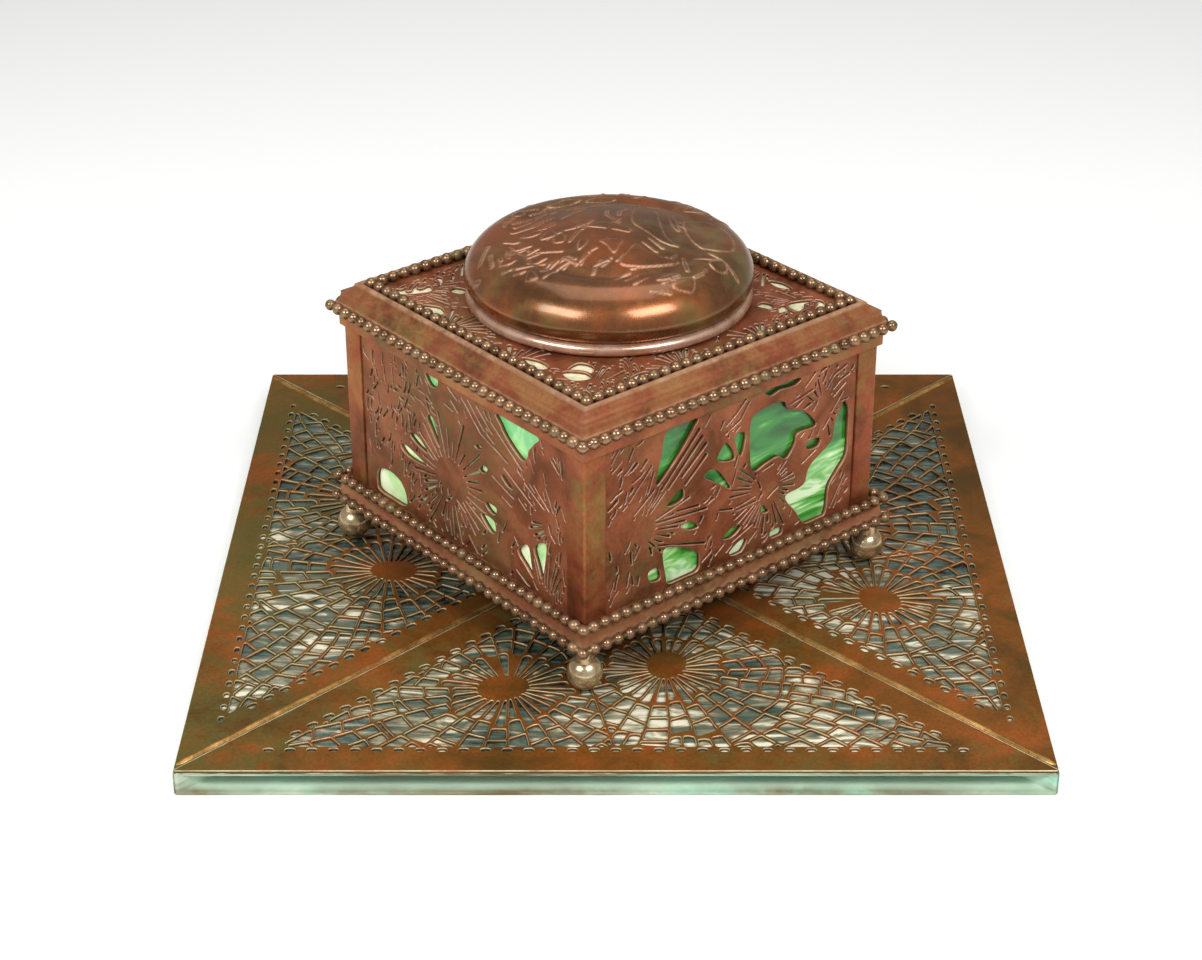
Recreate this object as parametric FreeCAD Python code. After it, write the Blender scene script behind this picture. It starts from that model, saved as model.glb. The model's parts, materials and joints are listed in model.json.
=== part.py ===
"""Square bronze and slag-glass desk inkwell on a stand of four triangular blotter corners.

Millimetres, +Z up, origin on the table at the middle of the stand. Every sub-part is its own
solid in its own STEP file. The stand's sections are modelled once, as the front one, and turned.
The box is modelled square to its own axes, and turned and moved onto the stand at the end.
"""
import FreeCAD
import Part
import math
import os

V = FreeCAD.Vector
UP = V(0, 0, 1)
ORIGIN = V(0, 0, 0)

# ---- Stand: four right-angled triangular pockets, point to point --------------------------------
STAND_SIDE = 210.0
HALF_STAND = STAND_SIDE / 2
SEAM = 0.4                # gap between neighbouring sections
POCKET_SHEET = 0.7        # bottom sheet and its two folded walls
POCKET_ROOM = 4.3         # clear height that takes a blotter's corner
BACKING_SHEET = 0.5
STAND_GLASS = 0.8
STAND_TOP_SHEET = 0.8
BACKING_Z = POCKET_SHEET + POCKET_ROOM
STAND_GLASS_Z = BACKING_Z + BACKING_SHEET
STAND_TOP_Z = STAND_GLASS_Z + STAND_GLASS
STAND_HEIGHT = STAND_TOP_Z + STAND_TOP_SHEET
LIP_SETBACK = 1.0         # the glass and its backing stop short of the open edge
BORDER_INSET = 8.5        # row of small holes, in from every edge of a top sheet
BORDER_PITCH = 4.8
BORDER_HOLE_R = 0.9
# pine bursts on the front section's top sheet: centre x, centre y, solid core radius, spoke reach
STAND_BURSTS = [(-26.0, -70.0, 6.0, 16.0), (13.0, -62.0, 6.0, 15.0)]
STAND_SPOKES = 20
SPOKE_HALF_ANGLE = math.radians(5.5)

# ---- Box, as half widths from its own centre and heights above the table ------------------------
BOX_X = -1.5
BOX_Y = -0.3
BOX_TURN = 40.0
FOOT_R = 4.6
FOOT_CLEARANCE = 0.3      # a lifted box settles this far
FOOT_HALF = 49.2
FOOT_Z = STAND_HEIGHT + FOOT_CLEARANCE + FOOT_R
FOOT_NECK_R = 2.2
STUD_R = 1.2
STUD_REACH = 5.0          # how far a foot's stud goes into the moulding
BASE_Z = 18.4
PANEL_Z = 25.4            # top of the base moulding, foot of the panels
CORNICE_Z = 71.2          # head of the panels
BOX_INNER = 45.0
FACE = 49.3               # outer face of the corner posts
POST_WIDTH = 6.8
POST_DEPTH = 3.4
PANEL_FACE = FACE - 0.5
PANEL_SHEET = 1.2
SIDE_GLASS = 2.0
PANEL_GAP = 0.15          # seam beside a post
PANEL_HALF = FACE - POST_WIDTH - PANEL_GAP
BOTTOM_SHEET = 1.5
BEAD_WIRE_R = 1.3
# pearled wires: half width, height
CORNICE_WIRE = (51.6, 76.6)
BASE_UPPER_WIRE = (51.8, 26.0)
BASE_LOWER_WIRE = (52.3, 19.9)
TOP_PLATE_TOP = 81.9
TOP_PLATE_SHEET = 0.8
TOP_PLATE_HALF = 45.2
TOP_GLASS = 2.0
TOP_WIRE = (43.8, TOP_PLATE_TOP + BEAD_WIRE_R)
TOP_LEDGE = TOP_PLATE_TOP - TOP_PLATE_SHEET - TOP_GLASS
TOP_LEDGE_INNER = 42.4

# ---- Mouth, ink pot, hinge and lid ---------------------------------------------------------------
MOUTH_R = 29.0
COLLAR_WALL = 1.2
COLLAR_FLANGE_R = 31.5
COLLAR_FLANGE = 0.6
COLLAR_DEPTH = 5.0
POT_CLEARANCE = 0.5
POT_R = MOUTH_R - COLLAR_WALL - POT_CLEARANCE
POT_WALL = 3.0
POT_FLOOR = 5.0
POT_DEPTH = 46.0
POT_RIM_R = 31.0
POT_RIM = 1.4
POT_CORNER_R = 7.0
LID_GAP = 0.3             # between the lid's rim and the top plate
RIM_ROLL_R = 1.6
RIM_CENTRE_R = 35.5
RIM_INNER_R = 33.2
RIM_Z = TOP_PLATE_TOP + LID_GAP
RIM_TOP = RIM_Z + 2 * RIM_ROLL_R
LINER_R = 34.1
LINER_SHEET = 0.9
DOME_R = 37.4
DOME_WALL = 1.2
DOME_WAIST_Z = 89.6       # height of the dome's widest circle
SHOULDER_R = 25.4         # where the rounded edge meets the raised centre
SHOULDER_Z = 98.5
DOME_TOP_Z = 101.0
HINGE_Y = 39.8
HINGE_Z = 83.7
KNUCKLE_R = 1.3
PIN_R = 0.6
PIN_CLEARANCE = 0.05
LID_KNUCKLE_HALF = 4.7
HINGE_HALF = 10.0
KNUCKLE_GAP = 0.3
STRIP_FROM = 41.4         # the strip that ties the two outer knuckles
STRIP_TO = 42.3
STRIP_Z = 83.0
PIN_HEAD = 0.6

# leaf-shaped openings of a side panel: across, up from the panel's middle, length, width, degrees
SIDE_LEAVES = [(-30.0, -12.0, 17.0, 9.0, 10.0), (29.0, 14.0, 15.0, 9.0, -25.0),
               (33.5, -12.0, 16.0, 9.0, 60.0), (-31.0, 13.0, 15.0, 6.0, 35.0)]
SIDE_HUB = (0.0, -1.0, 6.0, 17.0)
SIDE_SPOKES = 16
SIDE_SPOKE_HALF_ANGLE = math.radians(5.0)
# leaf-shaped openings in each corner of the top plate: distance along the diagonal, length, width
TOP_LEAVES = [(45.0, 12.0, 5.0), (53.0, 7.0, 3.5)]


# ---- Helpers -------------------------------------------------------------------------------------
def polygon(points, z=0.0):
    """Closed wire through (x, y) points at height z."""
    corners = [V(x, y, z) for x, y in points]
    return Part.makePolygon(corners + corners[:1])


def sheet(outline, holes, z, thickness):
    """Flat sheet with an outline wire and hole wires, both drawn at z = 0."""
    face = Part.makeFace([outline] + holes, "Part::FaceMakerBullseye")
    solid = face.extrude(V(0, 0, thickness))
    solid.translate(V(0, 0, z))
    return solid


def spoke(cx, cy, near, far, angle, half_angle):
    """Wire of a slot that widens outwards, with straight sides and round ends."""
    def at(radius, turn):
        return V(cx + radius * math.cos(turn), cy + radius * math.sin(turn), 0)
    a, b = at(near, angle - half_angle), at(far, angle - half_angle)
    c, d = at(far, angle + half_angle), at(near, angle + half_angle)
    far_mid = at(far + far * math.tan(half_angle), angle)
    near_mid = at(near - near * math.tan(half_angle) * 0.8, angle)
    return Part.Wire([Part.makeLine(a, b), Part.Arc(b, far_mid, c).toShape(),
                      Part.makeLine(c, d), Part.Arc(d, near_mid, a).toShape()])


def leaf(cx, cy, length, width, degrees):
    """Pointed leaf-shaped wire made of two arcs."""
    turn = math.radians(degrees)
    along = V(math.cos(turn), math.sin(turn), 0) * (length / 2)
    across = V(-math.sin(turn), math.cos(turn), 0) * (width / 2)
    middle = V(cx, cy, 0)
    tip, tail = middle + along, middle - along
    return Part.Wire([Part.Arc(tail, middle + across, tip).toShape(),
                      Part.Arc(tip, middle - across, tail).toShape()])


def round_hole(cx, cy, radius):
    """Round hole as a wire."""
    return Part.Wire([Part.makeCircle(radius, V(cx, cy, 0))])


def profile_wire(stretches):
    """Closed wire in the XZ plane from stretches of 2 points (line) or 3 (arc), end to end."""
    edges = []
    for points in stretches:
        corners = [V(x, 0, z) for x, z in points]
        if len(corners) == 2:
            edges.append(Part.makeLine(*corners))
        else:
            edges.append(Part.Arc(*corners).toShape())
    return Part.Wire(edges)


def lathe(stretches):
    """Solid of revolution about Z from a closed profile of (radius, z) stretches."""
    return Part.Face(profile_wire(stretches)).revolve(ORIGIN, UP, 360)


def cap(radius, z, top):
    """Arc stretch from (radius, z) to the axis at height top, level where it meets the axis."""
    rise = top - z
    ball = (radius ** 2 + rise ** 2) / (2 * rise)
    middle = top - ball + math.sqrt(ball ** 2 - radius ** 2 / 4)
    return [(radius, z), (radius / 2, middle), (0, top)]


def mitred_bar(wire, reach):
    """One side of a square frame from a profile drawn in XZ, x being the half width.

    The bar is on the box's front side, runs along X and is cut to 45 degree mitres.
    """
    section = wire.copy()
    section.rotate(ORIGIN, UP, -90)
    section.translate(V(-reach, 0, 0))
    bar = Part.Face(section).extrude(V(2 * reach, 0, 0))
    wedge = Part.Face(polygon([(0, 0), (-reach, -reach), (reach, -reach)], -1))
    return bar.common(wedge.extrude(V(0, 0, DOME_TOP_Z)))


def square_wire_ring(half, z, radius):
    """Closed square ring of round wire with mitred corners, as one solid."""
    circle = Part.Wire([Part.makeCircle(radius, V(half, 0, z), V(0, 1, 0))])
    bar = mitred_bar(circle, half + 3 * radius)
    sides = [turned(bar, 90 * k) for k in range(4)]
    return sides[0].multiFuse(sides[1:]).removeSplitter()


def turned(shape, degrees):
    """Copy of a shape turned about Z."""
    copy = shape.copy()
    copy.rotate(ORIGIN, UP, degrees)
    return copy


def on_stand(shape):
    """Copy of a box part, turned and moved to where the box stands."""
    copy = turned(shape, BOX_TURN)
    copy.translate(V(BOX_X, BOX_Y, 0))
    return copy


def block(x0, x1, y0, y1, z0, z1):
    """Rectangular block between two corners."""
    return Part.makeBox(x1 - x0, y1 - y0, z1 - z0, V(x0, y0, z0))


def only_solid(shape):
    """The single solid inside a boolean's result."""
    solids = shape.Solids
    if len(solids) != 1:
        raise ValueError("expected one solid, got %d" % len(solids))
    return solids[0]


# ---- Stand ---------------------------------------------------------------------------------------
def triangle(inset, front=0.0):
    """Front section's outline, its two legs moved in by inset and its long edge by front."""
    drop = inset * math.sqrt(2)
    edge = HALF_STAND - front
    return [(drop - edge, -edge), (edge - drop, -edge), (0, -drop)]


def border_holes():
    """Holes in a row along the long edge and both legs of a top sheet."""
    holes = []
    low = BORDER_INSET - HALF_STAND
    leg_shift = BORDER_INSET * math.sqrt(2)
    half_run = -low - leg_shift
    count = int(half_run / BORDER_PITCH)
    for k in range(-count, count + 1):
        holes.append(round_hole(k * BORDER_PITCH, low, BORDER_HOLE_R))
    leg_step = BORDER_PITCH / math.sqrt(2)
    for side in (-1, 1):
        for k in range(2, int(half_run / leg_step) - 1):
            x = k * leg_step
            holes.append(round_hole(side * x, -x - leg_shift, BORDER_HOLE_R))
    return holes


def stand_top():
    """Pierced top sheet with two pine bursts."""
    holes = border_holes()
    for cx, cy, core, reach in STAND_BURSTS:
        for k in range(STAND_SPOKES):
            angle = 2 * math.pi * (k + 0.5) / STAND_SPOKES
            holes.append(spoke(cx, cy, core, reach, angle, SPOKE_HALF_ANGLE))
    return sheet(polygon(triangle(SEAM / 2)), holes, STAND_TOP_Z, STAND_TOP_SHEET)


def stand_pocket():
    """Bottom sheet with a wall folded up along each leg, open at the long edge."""
    outer = sheet(polygon(triangle(SEAM / 2)), [], 0, STAND_TOP_Z)
    room = sheet(polygon(triangle(SEAM / 2 + POCKET_SHEET, -LIP_SETBACK)), [], POCKET_SHEET, STAND_TOP_Z)
    return only_solid(outer.cut(room))


def stand_layer(z, thickness):
    """Plain triangular layer that fits between a pocket's walls."""
    return sheet(polygon(triangle(SEAM / 2 + POCKET_SHEET, LIP_SETBACK)), [], z, thickness)


def stand_parts():
    """Every sheet and glass of the four sections, by name."""
    layers = {
        "pocket": stand_pocket(),
        "backing": stand_layer(BACKING_Z, BACKING_SHEET),
        "glass": stand_layer(STAND_GLASS_Z, STAND_GLASS),
        "top": stand_top(),
    }
    parts = {}
    for turn, side in enumerate(["front", "right", "back", "left"]):
        for layer, shape in layers.items():
            parts["stand_%s_%s" % (side, layer)] = turned(shape, 90 * turn)
    return parts


# ---- Box -----------------------------------------------------------------------------------------
def base_profile():
    """Base moulding: a bold band that leans in a little towards the panels."""
    return profile_wire([
        [(BOX_INNER, BASE_Z), (51.3, BASE_Z)],
        [(51.3, BASE_Z), (51.8, 21.2)],
        [(51.8, 21.2), (51.4, 22.9), (51.6, PANEL_Z)],
        [(51.6, PANEL_Z), (BOX_INNER, PANEL_Z)],
        [(BOX_INNER, PANEL_Z), (BOX_INNER, BASE_Z)],
    ])


def cornice_profile():
    """Cornice: fillet, seat of the pearled wire, cove up to a rolled edge, ledge for the top glass."""
    roll_z = 82.6
    return profile_wire([
        [(BOX_INNER, CORNICE_Z), (50.1, CORNICE_Z)],
        [(50.1, CORNICE_Z), (50.1, 75.3)],
        [(50.1, 75.3), (50.7, 75.5)],
        [(50.7, 75.5), (50.7, 78.0)],
        [(50.7, 78.0), (49.8, 79.2), (49.6, 80.9)],
        [(49.6, 80.9), (48.0, 81.3), (47.0, roll_z - 0.2)],
        [(47.0, roll_z - 0.2), (46.15, roll_z + 0.75), (TOP_PLATE_HALF, roll_z - 0.2)],
        [(TOP_PLATE_HALF, roll_z - 0.2), (TOP_PLATE_HALF, TOP_LEDGE)],
        [(TOP_PLATE_HALF, TOP_LEDGE), (TOP_LEDGE_INNER, TOP_LEDGE)],
        [(TOP_LEDGE_INNER, TOP_LEDGE), (BOX_INNER, TOP_LEDGE - 2.6)],
        [(BOX_INNER, TOP_LEDGE - 2.6), (BOX_INNER, CORNICE_Z)],
    ])


def foot_studs():
    """The four threaded studs that hold the feet, as plain shafts."""
    top = BASE_Z + STUD_REACH
    shafts = []
    for sx, sy in ((-1, -1), (1, -1), (1, 1), (-1, 1)):
        foot = V(sx * FOOT_HALF, sy * FOOT_HALF, FOOT_Z)
        shafts.append(Part.makeCylinder(STUD_R, top - FOOT_Z, foot))
    return Part.makeCompound(shafts)


def ball_foot(studs):
    """Ball foot with a short neck, at the box's front left corner."""
    centre = V(-FOOT_HALF, -FOOT_HALF, FOOT_Z)
    ball = Part.makeSphere(FOOT_R, centre)
    neck = Part.makeCylinder(FOOT_NECK_R, BASE_Z - FOOT_Z, centre)
    return only_solid(ball.fuse(neck).cut(studs))


def corner_post():
    """L-shaped post at the front left corner, with a fine chamfer on its outer edge."""
    height = CORNICE_Z - PANEL_Z
    far, inner = FACE - POST_WIDTH, FACE - POST_DEPTH
    nip = 0.4
    outline = [(-FACE, -FACE + nip), (-FACE + nip, -FACE), (-far, -FACE), (-far, -inner),
               (-inner, -inner), (-inner, -far), (-FACE, -far)]
    return sheet(polygon(outline), [], PANEL_Z, height)


def upright(shape, outer_face):
    """Stands a flat sheet, drawn face up at z = 0 to its thickness, in the box's front wall."""
    copy = shape.copy()
    copy.rotate(ORIGIN, V(1, 0, 0), 90)
    thickness = shape.BoundBox.ZLength
    copy.translate(V(0, -outer_face + thickness, (PANEL_Z + CORNICE_Z) / 2))
    return copy


def panel_outline():
    """Outline of a side panel, drawn flat about its middle."""
    half_height = (CORNICE_Z - PANEL_Z) / 2
    return polygon([(-PANEL_HALF, -half_height), (PANEL_HALF, -half_height),
                    (PANEL_HALF, half_height), (-PANEL_HALF, half_height)])


def side_grille():
    """Pierced front wall: a pine burst with leaf-shaped openings round it."""
    holes = [leaf(*values) for values in SIDE_LEAVES]
    cx, cy, core, reach = SIDE_HUB
    for k in range(SIDE_SPOKES):
        angle = 2 * math.pi * (k + 0.5) / SIDE_SPOKES
        holes.append(spoke(cx, cy, core, reach, angle, SIDE_SPOKE_HALF_ANGLE))
    return upright(sheet(panel_outline(), holes, 0, PANEL_SHEET), PANEL_FACE)


def side_glass():
    """Glass behind the front wall."""
    return upright(sheet(panel_outline(), [], 0, SIDE_GLASS), PANEL_FACE - PANEL_SHEET)


def glass_clips():
    """Small bent tabs, two to a side, that press the glass against the grilles."""
    back = PANEL_FACE - PANEL_SHEET - SIDE_GLASS
    tab_width, tab_height, tab_sheet = 5.0, 8.0, 0.6
    clips = []
    for turn in range(4):
        for x in (-PANEL_HALF / 2, PANEL_HALF / 2):
            clip = block(x - tab_width / 2, x + tab_width / 2, -back, -back + tab_sheet,
                         PANEL_Z, PANEL_Z + tab_height)
            clips.append(turned(clip, 90 * turn))
    return Part.makeCompound(clips)


def top_grille():
    """Pierced top plate with the round mouth."""
    half = TOP_PLATE_HALF
    outline = polygon([(-half, -half), (half, -half), (half, half), (-half, half)])
    holes = [round_hole(0, 0, MOUTH_R)]
    for k in range(4):
        diagonal = math.radians(45 + 90 * k)
        for distance, length, width in TOP_LEAVES:
            x, y = distance * math.cos(diagonal), distance * math.sin(diagonal)
            holes.append(leaf(x, y, length, width, 135 + 90 * k))
    return sheet(outline, holes, TOP_PLATE_TOP - TOP_PLATE_SHEET, TOP_PLATE_SHEET)


def top_glass():
    """Square glass under the top plate, with the round mouth."""
    half = TOP_PLATE_HALF
    outline = polygon([(-half, -half), (half, -half), (half, half), (-half, half)])
    return sheet(outline, [round_hole(0, 0, MOUTH_R)], TOP_LEDGE, TOP_GLASS)


def mouth_collar():
    """Flanged ring that lines the mouth and carries the pot."""
    inner = MOUTH_R - COLLAR_WALL
    low = TOP_PLATE_TOP - COLLAR_DEPTH
    high = TOP_PLATE_TOP + COLLAR_FLANGE
    return lathe([
        [(inner, low), (MOUTH_R, low)],
        [(MOUTH_R, low), (MOUTH_R, TOP_PLATE_TOP)],
        [(MOUTH_R, TOP_PLATE_TOP), (COLLAR_FLANGE_R, TOP_PLATE_TOP)],
        [(COLLAR_FLANGE_R, TOP_PLATE_TOP), (COLLAR_FLANGE_R, high)],
        [(COLLAR_FLANGE_R, high), (inner, high)],
        [(inner, high), (inner, low)],
    ])


def ink_pot():
    """Clear glass pot that hangs in the collar by its flat rim."""
    rim_z = TOP_PLATE_TOP + COLLAR_FLANGE
    top = rim_z + POT_RIM
    foot = top - POT_DEPTH
    floor = foot + POT_FLOOR
    inner = POT_R - POT_WALL
    bend = POT_CORNER_R * (1 - math.cos(math.radians(45)))
    return lathe([
        [(0, foot), (POT_R - POT_CORNER_R, foot)],
        [(POT_R - POT_CORNER_R, foot), (POT_R - bend, foot + bend), (POT_R, foot + POT_CORNER_R)],
        [(POT_R, foot + POT_CORNER_R), (POT_R, rim_z)],
        [(POT_R, rim_z), (POT_RIM_R, rim_z)],
        [(POT_RIM_R, rim_z), (POT_RIM_R + POT_RIM / 3, rim_z + POT_RIM / 2), (POT_RIM_R, top)],
        [(POT_RIM_R, top), (inner, top)],
        [(inner, top), (inner, floor + POT_CORNER_R)],
        [(inner, floor + POT_CORNER_R), (inner - bend, floor + bend), (inner - POT_CORNER_R, floor)],
        [(inner - POT_CORNER_R, floor), (0, floor)],
        [(0, floor), (0, foot)],
    ])


def box_hinge_leaf():
    """Fixed leaf: two outer knuckles tied by a strip."""
    bore = Part.makeCylinder(PIN_R, 2 * HINGE_HALF, V(-HINGE_HALF, HINGE_Y, HINGE_Z), V(1, 0, 0))
    leaf_solid = block(-HINGE_HALF, HINGE_HALF, STRIP_FROM, STRIP_TO, TOP_PLATE_TOP, STRIP_Z)
    inside = LID_KNUCKLE_HALF + KNUCKLE_GAP
    length = HINGE_HALF - inside
    for start in (-HINGE_HALF, inside):
        knuckle = Part.makeCylinder(KNUCKLE_R, length, V(start, HINGE_Y, HINGE_Z), V(1, 0, 0))
        lug = block(start, start + length, HINGE_Y - KNUCKLE_R, STRIP_TO, TOP_PLATE_TOP, STRIP_Z)
        leaf_solid = leaf_solid.fuse(knuckle).fuse(lug)
    return only_solid(leaf_solid.cut(bore).removeSplitter())


def hinge_pin():
    """Pin with a small head at each end."""
    reach = HINGE_HALF + PIN_HEAD
    pin = Part.makeCylinder(PIN_R, 2 * reach, V(-reach, HINGE_Y, HINGE_Z), V(1, 0, 0))
    for start in (-reach, HINGE_HALF):
        head = Part.makeCylinder(PIN_R * 1.6, PIN_HEAD, V(start, HINGE_Y, HINGE_Z), V(1, 0, 0))
        pin = pin.fuse(head)
    return only_solid(pin.removeSplitter())


# ---- Lid -----------------------------------------------------------------------------------------
def lid_rim():
    """Rolled ring round the lid's foot."""
    return lathe([
        [(RIM_INNER_R, RIM_Z), (RIM_CENTRE_R, RIM_Z)],
        [(RIM_CENTRE_R, RIM_Z), (RIM_CENTRE_R + RIM_ROLL_R, RIM_Z + RIM_ROLL_R), (RIM_CENTRE_R, RIM_TOP)],
        [(RIM_CENTRE_R, RIM_TOP), (RIM_INNER_R, RIM_TOP)],
        [(RIM_INNER_R, RIM_TOP), (RIM_INNER_R, RIM_Z)],
    ])


def lid_dome():
    """Cushion-shaped shell with a shallow groove round its raised centre."""
    side_z = (RIM_TOP + DOME_WAIST_Z) / 2
    round_r = SHOULDER_R + (DOME_R - SHOULDER_R) * 0.70
    round_z = DOME_WAIST_Z + (SHOULDER_Z - DOME_WAIST_Z) * 0.72
    groove_r, groove_z = SHOULDER_R - 0.7, SHOULDER_Z - 0.35
    centre_r = SHOULDER_R - 1.4
    wall = DOME_WALL
    inner_z = SHOULDER_Z - wall - 0.4
    return lathe([
        [(RIM_CENTRE_R - wall, RIM_TOP), (RIM_CENTRE_R, RIM_TOP)],
        [(RIM_CENTRE_R, RIM_TOP), (DOME_R - 0.4, side_z), (DOME_R, DOME_WAIST_Z)],
        [(DOME_R, DOME_WAIST_Z), (round_r, round_z), (SHOULDER_R, SHOULDER_Z)],
        [(SHOULDER_R, SHOULDER_Z), (groove_r, groove_z), (centre_r, SHOULDER_Z)],
        cap(centre_r, SHOULDER_Z, DOME_TOP_Z),
        [(0, DOME_TOP_Z), (0, DOME_TOP_Z - wall)],
        cap(centre_r, inner_z, DOME_TOP_Z - wall)[::-1],
        [(centre_r, inner_z), (round_r - wall * 0.7, round_z - wall * 0.7),
         (DOME_R - wall, DOME_WAIST_Z)],
        [(DOME_R - wall, DOME_WAIST_Z), (DOME_R - wall - 0.4, side_z), (RIM_CENTRE_R - wall, RIM_TOP)],
    ])


def lid_liner():
    """Flat inner disc that closes the dome and lies on the rim's shelf."""
    return Part.makeCylinder(LINER_R, LINER_SHEET, V(0, 0, RIM_TOP))


def lid_hinge_leaf(rim, dome):
    """Moving leaf: the middle knuckle and the tongue that is soldered to the rim."""
    half = LID_KNUCKLE_HALF
    knuckle = Part.makeCylinder(KNUCKLE_R, 2 * half, V(-half, HINGE_Y, HINGE_Z), V(1, 0, 0))
    tongue = block(-half, half, RIM_CENTRE_R - 1, HINGE_Y, HINGE_Z - 0.9, HINGE_Z + 0.7)
    bore = Part.makeCylinder(PIN_R + PIN_CLEARANCE, 2 * half, V(-half, HINGE_Y, HINGE_Z), V(1, 0, 0))
    return only_solid(knuckle.fuse(tongue).cut(bore).cut(rim).cut(dome).removeSplitter())


def box_parts():
    """Every part of the box and its lid, by name, in the box's own axes."""
    wires = {
        "cornice_bead_wire": square_wire_ring(*CORNICE_WIRE, BEAD_WIRE_R),
        "base_upper_bead_wire": square_wire_ring(*BASE_UPPER_WIRE, BEAD_WIRE_R),
        "base_lower_bead_wire": square_wire_ring(*BASE_LOWER_WIRE, BEAD_WIRE_R),
        "top_bead_wire": square_wire_ring(*TOP_WIRE, BEAD_WIRE_R),
    }
    studs = foot_studs()
    reach = 60.0
    base = mitred_bar(base_profile(), reach)
    base = base.cut(wires["base_upper_bead_wire"]).cut(wires["base_lower_bead_wire"])
    base = only_solid(base.cut(studs))
    cornice = only_solid(mitred_bar(cornice_profile(), reach).cut(wires["cornice_bead_wire"]))
    foot, post, grille, glass = ball_foot(studs), corner_post(), side_grille(), side_glass()
    parts = dict(wires)
    parts["foot_studs"] = studs
    for turn, side in enumerate(["right", "far_right", "far_left", "left"]):
        parts["base_moulding_" + side] = turned(base, 90 * turn)
        parts["cornice_" + side] = turned(cornice, 90 * turn)
        parts["side_grille_" + side] = turned(grille, 90 * turn)
        parts["side_glass_" + side] = turned(glass, 90 * turn)
    for turn, corner in enumerate(["front", "right", "back", "left"]):
        parts["corner_post_" + corner] = turned(post, 90 * turn)
        parts["ball_foot_" + corner] = turned(foot, 90 * turn)
    parts["bottom_plate"] = block(-BOX_INNER, BOX_INNER, -BOX_INNER, BOX_INNER,
                                  BASE_Z, BASE_Z + BOTTOM_SHEET)
    parts["glass_clips"] = glass_clips()
    parts["top_grille"] = top_grille()
    parts["top_glass"] = top_glass()
    parts["mouth_collar"] = mouth_collar()
    parts["ink_pot"] = ink_pot()
    parts["box_hinge_leaf"] = box_hinge_leaf()
    parts["hinge_pin"] = hinge_pin()
    rim, dome = lid_rim(), lid_dome()
    parts["lid_rim"] = rim
    parts["lid_dome"] = dome
    parts["lid_liner"] = lid_liner()
    parts["lid_hinge_leaf"] = lid_hinge_leaf(rim, dome)
    return parts


def main():
    """Writes one STEP file for each part."""
    os.makedirs("parts", exist_ok=True)
    everything = stand_parts()
    for name, shape in box_parts().items():
        everything[name] = on_stand(shape)
    for name, shape in everything.items():
        if not shape.isValid():
            raise ValueError("invalid shape: " + name)
        shape.exportStep("parts/%s.step" % name)
        print("%-24s %d solid(s) %10.1f mm3" % (name, len(shape.Solids), shape.Volume))


main()
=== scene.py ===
"""Looks of a square bronze and slag-glass desk inkwell on four pierced blotter corners.

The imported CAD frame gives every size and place. Lengths in this file are millimetres unless a name
says otherwise, and each mesh is scaled to metres as it is made. The box is drawn in its own axes:
u runs across a wall to the right as seen from outside, d is the distance out from the box's middle.
"""

import json
import math
import random

import bmesh
import bpy
import numpy as np
from bpy.props import FloatProperty, FloatVectorProperty, IntProperty, PointerProperty
from mathutils import Matrix, Vector, noise
from mathutils.geometry import delaunay_2d_cdt


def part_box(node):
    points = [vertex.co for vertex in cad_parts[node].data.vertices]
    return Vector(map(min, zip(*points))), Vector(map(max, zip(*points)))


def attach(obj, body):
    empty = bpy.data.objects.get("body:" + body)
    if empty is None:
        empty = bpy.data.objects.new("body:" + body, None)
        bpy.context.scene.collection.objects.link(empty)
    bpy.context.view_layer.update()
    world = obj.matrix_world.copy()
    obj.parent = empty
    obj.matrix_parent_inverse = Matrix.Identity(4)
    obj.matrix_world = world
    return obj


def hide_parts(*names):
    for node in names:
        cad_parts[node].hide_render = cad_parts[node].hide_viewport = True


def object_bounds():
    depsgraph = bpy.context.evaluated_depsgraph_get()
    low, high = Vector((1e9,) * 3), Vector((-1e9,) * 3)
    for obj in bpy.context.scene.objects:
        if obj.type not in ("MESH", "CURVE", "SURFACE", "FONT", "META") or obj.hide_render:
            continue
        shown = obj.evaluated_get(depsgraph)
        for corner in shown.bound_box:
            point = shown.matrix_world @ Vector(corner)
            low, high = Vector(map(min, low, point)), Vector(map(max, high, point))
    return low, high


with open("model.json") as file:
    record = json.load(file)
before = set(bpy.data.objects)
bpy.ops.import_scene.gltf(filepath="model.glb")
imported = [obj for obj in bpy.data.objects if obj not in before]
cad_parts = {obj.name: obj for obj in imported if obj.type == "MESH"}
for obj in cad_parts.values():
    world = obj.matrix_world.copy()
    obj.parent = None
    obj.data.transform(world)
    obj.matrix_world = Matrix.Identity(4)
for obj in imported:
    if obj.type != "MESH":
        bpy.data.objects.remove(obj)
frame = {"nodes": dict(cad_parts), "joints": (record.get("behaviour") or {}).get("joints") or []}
CAD_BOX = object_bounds()

bl_info = {
    "name": "Pierced bronze inkwell",
    "version": (1, 0, 0),
    "blender": (4, 5, 0),
    "location": "3D View > Sidebar > Inkwell",
    "description": "Builds the looks of a bronze and slag-glass inkwell on its blotter corners",
    "category": "Add Mesh",
}

MM = 0.001
SIDES = ("right", "far_right", "far_left", "left")
CORNERS = ("front", "right", "back", "left")
SECTIONS = ("front", "right", "back", "left")
UNCUT = -9.0               # depth of a sheet's grid before anything is cut
BAR_SWAY = 0.022           # how far the web's bars sway to each side, in radians


# ---- Places, from the frame ----------------------------------------------------------------------
def lid_hinge():
    """The lid's joint. Its axis runs along the box's own x axis."""
    return next(joint for joint in frame["joints"] if joint["name"] == "lid_hinge")


HINGE_AXIS = Vector(lid_hinge()["axis"])
BOX_TURN = math.atan2(-HINGE_AXIS.y, -HINGE_AXIS.x)


def span(node):
    """Lowest and highest corner of a CAD node, in millimetres."""
    low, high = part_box(node)
    return low / MM, high / MM


def box_centre():
    """Middle of the box, from its square ring of pearled wire."""
    low, high = span("cornice_bead_wire")
    return Vector(((low.x + high.x) / 2, (low.y + high.y) / 2, 0))


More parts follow.
